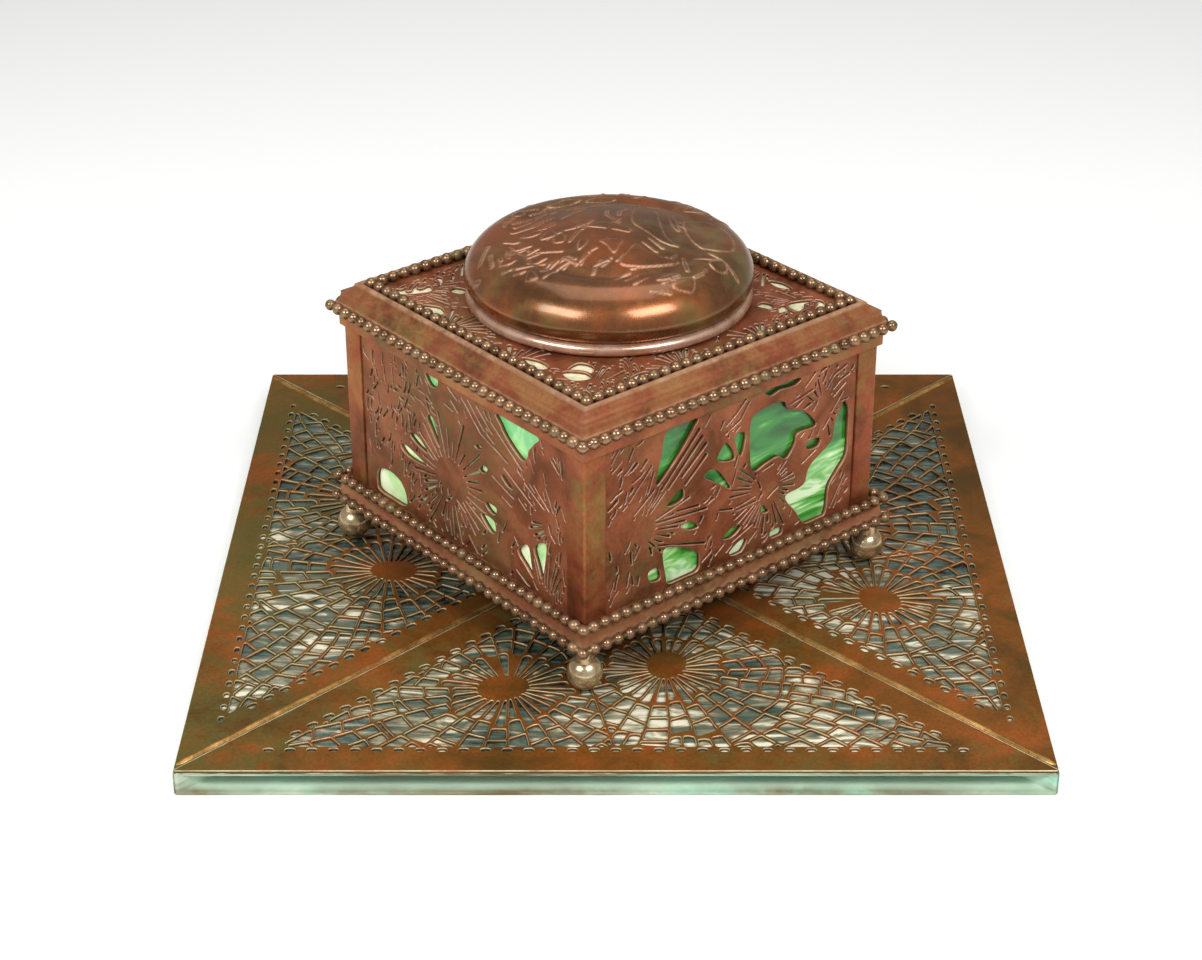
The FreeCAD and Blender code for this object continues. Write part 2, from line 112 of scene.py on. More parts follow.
BOX_CENTRE = box_centre()
TO_BOX = Matrix.Translation(BOX_CENTRE) @ Matrix.Rotation(BOX_TURN, 4, "Z")


def on_side(turn, u, d, z):
    """A point of wall number turn, as a point of the object."""
    return TO_BOX @ Matrix.Rotation(turn * math.pi / 2, 4, "Z") @ Vector((u, -d, z))


def own_span(node, turn=0):
    """Lowest and highest (u, d, z) of a box node, in the axes of wall number turn."""
    back = Matrix.Rotation(-turn * math.pi / 2, 4, "Z") @ TO_BOX.inverted()
    points = [back @ (vertex.co / MM) for vertex in frame["nodes"][node].data.vertices]
    drawn = np.array([(point.x, -point.y, point.z) for point in points])
    return drawn.min(axis=0), drawn.max(axis=0)


STAND_HALF = span("stand_front_pocket")[1].x
STAND_TOP = span("stand_front_top")[1].z
STAND_SHEET = STAND_TOP - span("stand_front_top")[0].z


# ---- Mesh helpers --------------------------------------------------------------------------------
def show(name, mesh, material=None):
    """Puts a mesh in the scene under a name, with one material."""
    piece = bpy.data.objects.new(name, mesh)
    bpy.context.scene.collection.objects.link(piece)
    if material:
        mesh.materials.clear()
        mesh.materials.append(material)
    return piece


def mesh_of(name, points, faces, sharp=35):
    """Mesh from points in millimetres, smooth except across edges sharper than an angle."""
    mesh = bpy.data.meshes.new(name)
    mesh.from_pydata([Vector(point) * MM for point in points], [], faces)
    mesh.update()
    mesh.shade_smooth()
    mesh.set_sharp_from_angle(angle=math.radians(sharp))
    return mesh


def cleaned(mesh, outward=True):
    """Merges doubled points and turns the faces of a closed mesh outwards."""
    work = bmesh.new()
    work.from_mesh(mesh)
    bmesh.ops.remove_doubles(work, verts=work.verts, dist=1e-7)
    bmesh.ops.dissolve_degenerate(work, edges=work.edges, dist=1e-7)
    if outward:
        bmesh.ops.recalc_face_normals(work, faces=work.faces)
    work.to_mesh(mesh)
    work.free()
    mesh.update()
    return mesh


def baked(piece):
    """Turns a piece's modifiers into plain mesh."""
    graph = bpy.context.evaluated_depsgraph_get()
    graph.update()
    result = bpy.data.meshes.new_from_object(piece.evaluated_get(graph))
    piece.modifiers.clear()
    piece.data = result
    return piece


def settle(piece, body, slot, *nodes):
    """Gives a finished piece its body and hides the CAD nodes that it stands for. slot is not used."""
    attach(piece, body)
    if nodes:
        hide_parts(*nodes)
    return piece


def arc(a, middle, b, steps):
    """Points of the arc from a through middle to b, without b."""
    (ax, ay), (mx, my), (bx, by) = a, middle, b
    cross = 2 * (ax * (my - by) + mx * (by - ay) + bx * (ay - my))
    if abs(cross) < 1e-9:
        return [a]
    sa, sm, sb = ax * ax + ay * ay, mx * mx + my * my, bx * bx + by * by
    cx = (sa * (my - by) + sm * (by - ay) + sb * (ay - my)) / cross
    cy = (sa * (bx - mx) + sm * (ax - bx) + sb * (mx - ax)) / cross
    radius = math.hypot(ax - cx, ay - cy)
    start = math.atan2(ay - cy, ax - cx)
    through = (math.atan2(my - cy, mx - cx) - start) % math.tau
    sweep = (math.atan2(by - cy, bx - cx) - start) % math.tau
    if through > sweep:
        sweep -= math.tau
    turns = [start + sweep * k / steps for k in range(steps)]
    return [(cx + radius * math.cos(turn), cy + radius * math.sin(turn)) for turn in turns]


def traced(stretches, steps=10):
    """Closed profile from stretches of two points (line) or three (arc), laid end to end."""
    points = []
    for stretch in stretches:
        points += [stretch[0]] if len(stretch) == 2 else arc(*stretch, steps)
    return points


def lathed(name, profile, centre, material, segments=96, sharp=35):
    """Solid of revolution about the vertical through centre, from a closed (radius, z) profile."""
    count = len(profile)
    points = []
    for k in range(segments):
        turn = math.tau * k / segments
        points += [(centre.x + r * math.cos(turn), centre.y + r * math.sin(turn), z)
                   for r, z in profile]
    faces = []
    for k in range(segments):
        here, there = k * count, (k + 1) % segments * count
        for i in range(count):
            j = (i + 1) % count
            if profile[i][0] > 1e-6 or profile[j][0] > 1e-6:
                faces.append((here + i, there + i, there + j, here + j))
    mesh = cleaned(mesh_of(name, points, faces, sharp))
    mesh.set_sharp_from_angle(angle=math.radians(sharp))
    return show(name, mesh, material)


def softened(node, name, material, width=0.2, segments=2):
    """Copy of a CAD node with its flat faces joined up and its edges rounded over."""
    mesh = frame["nodes"][node].data.copy()
    work = bmesh.new()
    work.from_mesh(mesh)
    bmesh.ops.remove_doubles(work, verts=work.verts, dist=2e-6)
    bmesh.ops.dissolve_limit(work, angle_limit=math.radians(2), verts=work.verts, edges=work.edges)
    work.to_mesh(mesh)
    work.free()
    piece = show(name, mesh, material)
    round_over = piece.modifiers.new("Round over", "BEVEL")
    round_over.width = width * MM
    round_over.segments = segments
    round_over.limit_method = "ANGLE"
    round_over.angle_limit = math.radians(40)
    round_over.harden_normals = False
    baked(piece)
    piece.data.shade_smooth()
    piece.data.set_sharp_from_angle(angle=math.radians(30))
    return piece


# ---- Cut work: openings in a flat sheet ----------------------------------------------------------
class CutWork:
    """A grid over a flat sheet. Each number is how deep inside an opening its point lies."""

    def __init__(self, low, high, step):
        self.step = step
        self.low = low
        self.across = low[0] + step * np.arange(int((high[0] - low[0]) / step) + 2)
        self.up = low[1] + step * np.arange(int((high[1] - low[1]) / step) + 2)
        self.x, self.y = np.meshgrid(self.across, self.up)
        self.depth = np.full(self.x.shape, UNCUT)

    def window(self, points, reach):
        """The part of the grid within reach of some points."""
        xs = [point[0] for point in points]
        ys = [point[1] for point in points]
        columns = np.searchsorted(self.across, [min(xs) - reach, max(xs) + reach])
        rows = np.searchsorted(self.up, [min(ys) - reach, max(ys) + reach])
        return slice(*rows), slice(*columns)

    def cut(self, window, depth, bar):
        """Cuts an opening that keeps a bar's width clear of those cut before it."""
        before = self.depth[window]
        self.depth[window] = np.maximum(before, np.minimum(depth, -before - bar))

    def stroke(self, line, half_a, half_b, bar=0.5):
        """Cuts a round-ended slot along a bent line, its half width changing evenly."""
        window = self.window(line, half_a + half_b + 1.5)
        x, y = self.x[window], self.y[window]
        depth = np.full(x.shape, UNCUT)
        legs = len(line) - 1
        for k, (a, b) in enumerate(zip(line, line[1:])):
            dx, dy = b[0] - a[0], b[1] - a[1]
            along = ((x - a[0]) * dx + (y - a[1]) * dy) / (dx * dx + dy * dy)
            along = np.clip(along, 0, 1)
            gap = np.hypot(x - a[0] - along * dx, y - a[1] - along * dy)
            half = half_a + (half_b - half_a) * (k + along) / legs
            depth = np.maximum(depth, half - gap)
        self.cut(window, depth, bar)

    def opening(self, points, bar=0.6):
        """Cuts an opening with a smooth closed outline through a few points."""
        outline = rounded(points)
        window = self.window(outline, 1.5)
        x, y = self.x[window], self.y[window]
        gap = np.full(x.shape, 1e9)
        inside = np.zeros(x.shape, bool)
        for (ax, ay), (bx, by) in zip(outline, outline[1:] + outline[:1]):
            dx, dy = bx - ax, by - ay
            along = np.clip(((x - ax) * dx + (y - ay) * dy) / (dx * dx + dy * dy), 0, 1)
            gap = np.minimum(gap, np.hypot(x - ax - along * dx, y - ay - along * dy))
            if ay != by:
                crosses = (y < ay) != (y < by)
                inside ^= crosses & (x < ax + (y - ay) * dx / dy)
        self.cut(window, np.where(inside, gap, -gap), bar)

    def fan(self, hub, near, far, start, end, count, half=0.3, seed=0, bar=0.5, least=0.6):
        """Cuts pine needles: slots that spread out from a hub between two bearings, in degrees."""
        chance = random.Random(seed)
        for k in range(count):
            turn = math.radians(start + (end - start) * (k + 0.5) / count + chance.uniform(-2, 2))
            reach = far * chance.uniform(least, 1.0)
            first = near * chance.uniform(0.95, 1.25)
            ray = (math.cos(turn), math.sin(turn))
            a = (hub[0] + first * ray[0], hub[1] + first * ray[1])
            b = (hub[0] + reach * ray[0], hub[1] + reach * ray[1])
            self.stroke([a, b], half * 0.7, half * chance.uniform(1.0, 1.6), bar)

    def dashes(self, low, high, count, bearing, seed, length=3.2, half=0.3, bar=0.5):
        """Cuts short bent strokes scattered over a rectangle, all leaning about the same way."""
        chance = random.Random(seed)
        for _ in range(count):
            x, y = chance.uniform(low[0], high[0]), chance.uniform(low[1], high[1])
            turn = math.radians(bearing + chance.uniform(-28, 28))
            reach = length * chance.uniform(0.25, 0.75)
            dx, dy = reach * math.cos(turn), reach * math.sin(turn)
            bend = chance.uniform(-0.25, 0.25)
            line = [(x - dx, y - dy), (x - dy * bend, y + dx * bend), (x + dx, y + dy)]
            self.stroke(line, half, half * chance.uniform(0.7, 1.8), bar)

    def strokes(self, lines, half=0.27, bar=0.45):
        """Cuts a slender slot along each of some bent lines, a little wider at its end."""
        for line in lines:
            self.stroke(line, half, half * 1.4, bar)

    def pine_web(self, hub, columns, reach, bar, inside, seed):
        """Cuts a web of many-sided lights round a hub, where the number inside is positive.

        Bars run straight out from the hub. Each column between two bars is crossed at a pitch of its
        own, and splits in two further out. reach is where each column starts.
        """
        chance = np.random.default_rng(seed)
        x, y = self.x - hub[0], self.y - hub[1]
        radius = np.hypot(x, y)
        bearing = np.arctan2(y, x)
        bearing = bearing + BAR_SWAY * np.sin(radius / 7 + 3 * bearing)
        depth = np.full(x.shape, UNCUT)
        for split in WEB_SPLITS:
            share = bearing / math.tau * columns % columns
            column = np.minimum(share.astype(int), columns - 1)
            finish = split + chance.uniform(-5, 5, columns)
            first, last = reach[column], finish[column]
            part = share - column
            to_bar = np.minimum(part, 1 - part) * math.tau * radius / columns
            pitch = chance.uniform(4.8, 7.4, columns)[column]
            slant = chance.uniform(-2.0, 2.0, columns)[column]
            rung = (radius - first + slant * (part - 0.5)) / pitch
            to_rung = np.abs(rung - np.round(rung)) * pitch
            to_end = np.minimum(radius - first, last - radius)
            lights = np.minimum(np.minimum(to_bar, to_rung), to_end) - bar / 2
            depth = np.maximum(depth, lights)
            reach = np.repeat(finish, 2)
            columns *= 2
        self.depth = np.maximum(self.depth, np.minimum(depth, inside))

    def at(self, point):
        """Depth at a point: positive in an opening, negative on metal."""
        column = int(round((point[0] - self.low[0]) / self.step))
        row = int(round((point[1] - self.low[1]) / self.step))
        if 0 <= row < self.depth.shape[0] and 0 <= column < self.depth.shape[1]:
            return float(self.depth[row, column])
        return UNCUT

    def outlines(self, spacing, smallest=0.5):
        """The openings' outlines as evenly spaced points, each turning left round its opening."""
        found = []
        for loop in zero_loops(self.depth):
            loop = loop * self.step + np.array(self.low)
            area = 0.5 * np.sum(loop[:, 0] * np.roll(loop[:, 1], -1) - np.roll(loop[:, 0], -1) * loop[:, 1])
            if abs(area) < smallest:
                continue
            if area < 0:
                loop = loop[::-1]
            loop = evenly(loop, spacing)
            normal = outward(loop)
            probe = loop[0] - normal[0] * 1.2 * self.step
            if len(loop) >= 6 and self.at(probe) > 0:
                found.append(loop)
        return found


def rounded(points, steps=5):
    """Closed Catmull-Rom curve through points, as a list of points."""
    count = len(points)
    result = []
    for k in range(count):
        a, b, c, d = (np.array(points[(k + offset) % count], float) for offset in (-1, 0, 1, 2))
        for step in range(steps):
            t = step / steps
            curve = 2 * b + (c - a) * t + (2 * a - 5 * b + 4 * c - d) * t ** 2
            curve = curve + (3 * b - a - 3 * c + d) * t ** 3
            result.append(tuple(curve / 2))
    return result


def zero_loops(depth):
    """Closed loops where a grid of numbers crosses zero, in grid steps."""
    depth = depth.copy()
    depth[0, :] = depth[-1, :] = depth[:, 0] = depth[:, -1] = -1.0
    above = depth > 0
    corners = [above[:-1, :-1], above[:-1, 1:], above[1:, 1:], above[1:, :-1]]
    code = sum(corner.astype(int) << bit for bit, corner in enumerate(corners))
    links = {}

    def crossing(row, column, edge):
        """Key and place of the crossing on one edge of a cell."""
        starts = ((row, column, 0), (row, column + 1, 1), (row + 1, column, 0), (row, column, 1))
        r, c, upright = starts[edge]
        first = depth[r, c]
        second = depth[r + 1, c] if upright else depth[r, c + 1]
        share = first / (first - second)
        place = (c, r + share) if upright else (c + share, r)
        return (r, c, upright), place

    pairs = {1: [(3, 0)], 2: [(0, 1)], 3: [(3, 1)], 4: [(1, 2)], 5: [(3, 0), (1, 2)], 6: [(0, 2)],
             7: [(3, 2)], 8: [(2, 3)], 9: [(2, 0)], 10: [(0, 1), (2, 3)], 11: [(2, 1)], 12: [(1, 3)],
             13: [(1, 0)], 14: [(0, 3)]}
    places = {}
    for row, column in zip(*np.nonzero((code > 0) & (code < 15))):
        for start, end in pairs[code[row, column]]:
            (a, place_a), (b, place_b) = crossing(row, column, start), crossing(row, column, end)
            places[a], places[b] = place_a, place_b
            links.setdefault(a, []).append(b)
            links.setdefault(b, []).append(a)
    loops = []
    seen = set()
    for start in links:
        if start in seen:
            continue
        chain, here, before = [], start, None
        while here not in seen:
            seen.add(here)
            chain.append(places[here])
            onward = [key for key in links[here] if key != before and key not in seen]
            if not onward:
                break
            before, here = here, onward[0]
        if len(chain) > 5:
            loops.append(np.array(chain))
    return loops


def evenly(loop, spacing):
    """A closed loop smoothed a little and set out at an even spacing."""
    for _ in range(2):
        loop = 0.5 * loop + 0.25 * (np.roll(loop, 1, axis=0) + np.roll(loop, -1, axis=0))
    closed = np.vstack([loop, loop[:1]])
    lengths = np.hypot(*np.diff(closed, axis=0).T)
    run = np.concatenate([[0], np.cumsum(lengths)])
    count = max(6, int(run[-1] / spacing))
    wanted = np.linspace(0, run[-1], count, endpoint=False)
    return np.column_stack([np.interp(wanted, run, closed[:, axis]) for axis in (0, 1)])


def outward(loop):
    """Unit normals that point out of a loop that turns left."""
    along = np.roll(loop, -1, axis=0) - np.roll(loop, 1, axis=0)
    along = along / np.maximum(np.hypot(*along.T), 1e-9)[:, None]
    return np.column_stack([along[:, 1], -along[:, 0]])


def pierced_sheet(name, outline, openings, thickness, lip, place, material):
    """Closed sheet with openings and rubbed, rounded edges.

    The point attribute rim is 0 on the face, 1 on the rubbed edge and -1 at the openings' foot. The
    material paints the rubbed edge lighter, partly as wear and partly as painted highlight, and the
    openings' foot darker as painted shade.
    place(u, v, w) puts a point of the drawing, w above the sheet's back, on the object.
    """
    edge = np.array(outline, float)
    following, preceding = np.roll(edge, -1, axis=0) - edge, edge - np.roll(edge, 1, axis=0)
    inward = [np.column_stack([-side[:, 1], side[:, 0]]) / np.hypot(*side.T)[:, None]
              for side in (following, preceding)]
    miter = (inward[0] + inward[1]) / (1 + np.sum(inward[0] * inward[1], axis=1))[:, None]
    rings = [(edge + lip * miter, edge, False)]
    rings += [(loop + lip * outward(loop), loop, True) for loop in openings]
    flat, wall, edges, holes = [], [], [], []
    for face_ring, wall_ring, opening in rings:
        first, count = len(flat), len(face_ring)
        flat += [Vector(point) for point in face_ring]
        wall += [tuple(point) for point in wall_ring]
        if opening:
            holes.append(list(range(first, first + count)))
        else:
            edges += [(first + i, first + (i + 1) % count) for i in range(count)]
    spots, _, found, origins, _, covers = delaunay_2d_cdt(flat, edges, holes, 1, 1e-6)
    triangles = [triangle for triangle, cover in zip(found, covers) if not cover]
    index = {}
    for number, sources in enumerate(origins):
        for source in sources:
            index[source] = number
    points = [place(spot.x, spot.y, thickness) for spot in spots]
    rim = [0.0] * len(points)
    back = len(points)
    for number, spot in enumerate(spots):
        u, v = wall[origins[number][0]] if origins[number] else (spot.x, spot.y)
        points.append(place(u, v, 0))
        # -1: the openings' foot, where the material paints in shade
        rim.append(-1.0)
    faces = [tuple(triangle) for triangle in triangles]
    faces += [tuple(back + corner for corner in reversed(triangle)) for triangle in triangles]
    start = 0
    for face_ring, wall_ring, opening in rings:
        count = len(face_ring)
        middle = len(points)
        points += [place(u, v, thickness - lip) for u, v in wall_ring]
        # 1: the rubbed edge, painted lighter as wear and painted highlight
        rim += [1.0] * count
        for i in range(count):
            j = (i + 1) % count
            top_i, top_j = index[start + i], index[start + j]
            strips = [(top_i, top_j, middle + j, middle + i),
                      (middle + i, middle + j, back + top_j, back + top_i)]
            faces += strips if opening else [strip[::-1] for strip in strips]
        start += count
    mesh = mesh_of(name, points, faces, 30)
    mesh.attributes.new("rim", "FLOAT", "POINT").data.foreach_set("value", rim)
    return show(name, mesh, material)


# ---- Geometry Nodes ------------------------------------------------------------------------------
def add(tree, kind, sockets=None, **settings):
    """Adds a node with its settings, and sets or links its input sockets."""
    node = tree.nodes.new(kind)
    for name, value in settings.items():
        setattr(node, name, value)
    for key, value in (sockets or {}).items():
        if isinstance(value, bpy.types.NodeSocket):
            tree.links.new(value, node.inputs[key])
        else:
            node.inputs[key].default_value = value
    return node


def new_tree(name, inputs):
    """Geometry Nodes tree with named inputs. Each input is (name, socket kind, default)."""
    tree = bpy.data.node_groups.new(name, "GeometryNodeTree")
    tree.interface.new_socket("Geometry", in_out="INPUT", socket_type="NodeSocketGeometry")
    tree.interface.new_socket("Geometry", in_out="OUTPUT", socket_type="NodeSocketGeometry")
    for label, kind, default in inputs:
        socket = tree.interface.new_socket(label, in_out="INPUT", socket_type=kind)
        if default is not None:
            socket.default_value = default
    return tree


def grown(name, points, edges, tree, values):
    """Runs a tree on the lines between some points and returns the result as a plain piece."""
    lines = bpy.data.meshes.new(name)
    lines.from_pydata([Vector(point) * MM for point in points], edges, [])
    piece = show(name, lines)
    modifier = piece.modifiers.new(tree.name, "NODES")
    modifier.node_group = tree
    for item in tree.interface.items_tree:
        if item.item_type == "SOCKET" and item.in_out == "INPUT" and item.name in values:
            modifier[item.identifier] = values[item.name]
    return baked(piece)


def pearled_wire_tree():
    """Beads at an even pitch along a closed line, strung on a thin core."""
    tree = new_tree("Pearled wire", [
        ("Beads", "NodeSocketInt", 100),
        ("Bead Radius", "NodeSocketFloat", 1.4 * MM),
        ("Core Radius", "NodeSocketFloat", 0.7 * MM),
        ("Unevenness", "NodeSocketFloat", 0.05),
        ("Seed", "NodeSocketInt", 1),
        ("Material", "NodeSocketMaterial", None),
    ])
    given = add(tree, "NodeGroupInput").outputs
    line = add(tree, "GeometryNodeMeshToCurve", {"Mesh": given["Geometry"]})
    spaced = add(tree, "GeometryNodeResampleCurve",
                 {"Curve": line.outputs[0], "Count": given["Beads"]})
    ball = add(tree, "GeometryNodeMeshUVSphere",
               {"Segments": 10, "Rings": 7, "Radius": given["Bead Radius"]})
    smooth = add(tree, "GeometryNodeSetShadeSmooth", {"Geometry": ball.outputs["Mesh"]})
    least = add(tree, "ShaderNodeMath", {0: 1.0, 1: given["Unevenness"]}, operation="SUBTRACT")
    most = add(tree, "ShaderNodeMath", {0: 1.0, 1: given["Unevenness"]}, operation="ADD")
    size = add(tree, "FunctionNodeRandomValue",
               {2: least.outputs[0], 3: most.outputs[0], "Seed": given["Seed"]}, data_type="FLOAT")
    tilt = add(tree, "FunctionNodeRandomValue", {0: (-0.6,) * 3, 1: (0.6,) * 3},
               data_type="FLOAT_VECTOR")
    beads = add(tree, "GeometryNodeInstanceOnPoints",
                {"Points": spaced.outputs[0], "Instance": smooth.outputs[0],
                 "Rotation": tilt.outputs[0], "Scale": size.outputs[1]})
    shade = add(tree, "FunctionNodeRandomValue", {2: 0.0, 3: 1.0}, data_type="FLOAT")
    named = add(tree, "GeometryNodeStoreNamedAttribute",
                {"Geometry": beads.outputs[0], "Name": "tint", "Value": shade.outputs[1]},
                data_type="FLOAT", domain="INSTANCE")
    ring = add(tree, "GeometryNodeCurvePrimitiveCircle",
               {"Resolution": 8, "Radius": given["Core Radius"]}, mode="RADIUS")
    core = add(tree, "GeometryNodeCurveToMesh",
               {"Curve": spaced.outputs[0], "Profile Curve": ring.outputs["Curve"]})
    both = add(tree, "GeometryNodeJoinGeometry")
    tree.links.new(named.outputs[0], both.inputs[0])
    tree.links.new(core.outputs[0], both.inputs[0])
    real = add(tree, "GeometryNodeRealizeInstances", {"Geometry": both.outputs[0]})
    dressed = add(tree, "GeometryNodeSetMaterial",
                  {"Geometry": real.outputs[0], "Material": given["Material"]})
    add(tree, "NodeGroupOutput", {"Geometry": dressed.outputs[0]})
    return tree


# ---- Materials -----------------------------------------------------------------------------------
def linear(code):
    """Linear colour, with alpha, of an sRGB hex code."""
    parts = [int(code[k:k + 2], 16) / 255 for k in (1, 3, 5)]
    return tuple([p / 12.92 if p <= 0.04045 else ((p + 0.055) / 1.055) ** 2.4 for p in parts] + [1.0])


def per_metre(size_mm):
    """Noise scale on Object coordinates that gives features of about a size in millimetres."""
    return 1 / (size_mm * MM)


def blank(name):
    """New node material with its Principled shader and its Object coordinates."""
    material = bpy.data.materials.new(name)
    material.use_nodes = True
    tree = material.node_tree
    tree.nodes.clear()
    shader = add(tree, "ShaderNodeBsdfPrincipled")
    add(tree, "ShaderNodeOutputMaterial", {"Surface": shader.outputs[0]})
    place = add(tree, "ShaderNodeTexCoord").outputs["Object"]
    return material, tree, shader, place


def patinated(name, browns, patina, rubbed, patch=14, speck=0.9, patina_share=0.5, gloss=0.42,
              metal=0.5, relief=0.05, worn="rim", spot=3.5, coat=0.0, greener=0.0,
              painted_shade_colour="#24180e", drawn=(1.0, 1.0, 1.0), mottle=0.19):
    """Chemically coloured bronze: browns in soft patches, patina in cloudy spots, rubbed edges with painted
    highlight.

    worn names the attribute that is above 0 where an edge is rubbed, partly wear and partly painted
    highlight, and below 0 at the foot of openings, where a dark colour is painted in as shade. greener is
    how much more patina the object's left side has than its right, drawn stretches the patches, and
    mottle is how strongly the fine grain varies.
    """
    material, tree, shader, spot_place = blank(name)
    place = add(tree, "ShaderNodeMapping", {"Vector": spot_place, "Scale": drawn}).outputs[0]
    cloud = add(tree, "ShaderNodeTexNoise",
                {"Vector": place, "Scale": per_metre(patch), "Detail": 5.0, "Roughness": 0.6,
                 "Distortion": 0.6})
    brown = add(tree, "ShaderNodeValToRGB", {"Fac": cloud.outputs[0]})
    ramp = brown.color_ramp
    ramp.elements[0].position, ramp.elements[0].color = 0.36, linear(browns[0])
    ramp.elements[1].position, ramp.elements[1].color = 0.64, linear(browns[2])
    ramp.elements.new(0.5).color = linear(browns[1])
    spots = add(tree, "ShaderNodeTexNoise",
                {"Vector": place, "Scale": per_metre(spot), "Detail": 6.0, "Roughness": 0.65,
                 "Distortion": 0.3})
    broad = add(tree, "ShaderNodeTexNoise",
                {"Vector": place, "Scale": per_metre(patch * 1.7), "Detail": 3.0})
    sides = add(tree, "ShaderNodeSeparateXYZ", {"Vector": spot_place})
    share = add(tree, "ShaderNodeMath", {0: sides.outputs["X"], 1: -greener / (2 * STAND_HALF * MM),
                                         2: broad.outputs[0]}, operation="MULTIPLY_ADD")
    where = add(tree, "ShaderNodeMath", {0: spots.outputs[0], 1: share.outputs[0]}, operation="ADD")
    mask = add(tree, "ShaderNodeMapRange",
               {"Value": where.outputs[0], "From Min": 0.98, "From Max": 1.24, "To Min": 0.0,
                "To Max": patina_share})
    green = add(tree, "ShaderNodeMix",
                {0: mask.outputs[0], 6: brown.outputs[0], 7: linear(patina)}, data_type="RGBA")
    grain = add(tree, "ShaderNodeTexNoise",
                {"Vector": place, "Scale": per_metre(speck), "Detail": 3.0, "Roughness": 0.7})
    value = add(tree, "ShaderNodeMapRange",
                {"Value": grain.outputs[0], "From Min": 0.3, "From Max": 0.7,
                 "To Min": 1 - mottle, "To Max": 1 + mottle})
    speckled = add(tree, "ShaderNodeHueSaturation",
                   {"Value": value.outputs[0], "Color": green.outputs[2]})
    marking = add(tree, "ShaderNodeAttribute", attribute_name=worn)
    # Painted shade: below 0, at the foot of openings, the colour is darkened towards a near-black brown.
    deep = add(tree, "ShaderNodeMath", {0: marking.outputs["Fac"], 1: -0.8}, operation="MULTIPLY",
               use_clamp=True)
    shaded = add(tree, "ShaderNodeMix",
                 {0: deep.outputs[0], 6: speckled.outputs[0], 7: linear(painted_shade_colour)}, data_type="RGBA")
    patchy = add(tree, "ShaderNodeMapRange",
                 {"Value": spots.outputs[0], "From Min": 0.35, "From Max": 0.6, "To Min": 0.4,
                  "To Max": 1.0})
    # Rubbed colour where the attribute is above 0: partly wear and partly painted highlight.
    wear = add(tree, "ShaderNodeMath", {0: marking.outputs["Fac"], 1: patchy.outputs[0]},
               operation="MULTIPLY", use_clamp=True)
    colour = add(tree, "ShaderNodeMix",
                 {0: wear.outputs[0], 6: shaded.outputs[2], 7: linear(rubbed)}, data_type="RGBA")
    metallic = add(tree, "ShaderNodeMapRange",
                   {"Value": mask.outputs[0], "From Max": 1.0, "To Min": metal, "To Max": 0.1})
    rough = add(tree, "ShaderNodeMapRange",
                {"Value": grain.outputs[0], "From Min": 0.3, "From Max": 0.7,
                 "To Min": gloss - 0.3 * mottle, "To Max": gloss + 0.5 * mottle})
    rougher = add(tree, "ShaderNodeMath", {0: mask.outputs[0], 1: 0.3, 2: rough.outputs[0]},
                  operation="MULTIPLY_ADD")
    heights = add(tree, "ShaderNodeMath", {0: grain.outputs[0], 1: 0.5, 2: spots.outputs[0]},
                  operation="MULTIPLY_ADD")
    bump = add(tree, "ShaderNodeBump",
               {"Height": heights.outputs[0], "Strength": 0.5, "Distance": relief * MM})
    tree.links.new(colour.outputs[2], shader.inputs["Base Color"])
    tree.links.new(metallic.outputs[0], shader.inputs["Metallic"])
    tree.links.new(rougher.outputs[0], shader.inputs["Roughness"])
    tree.links.new(bump.outputs[0], shader.inputs["Normal"])
    shader.inputs["Specular IOR Level"].default_value = 0.35
    shader.inputs["Specular Tint"].default_value = linear("#e6bd92")
    shader.inputs["Coat Weight"].default_value = coat
    shader.inputs["Coat Roughness"].default_value = 0.13
    return material


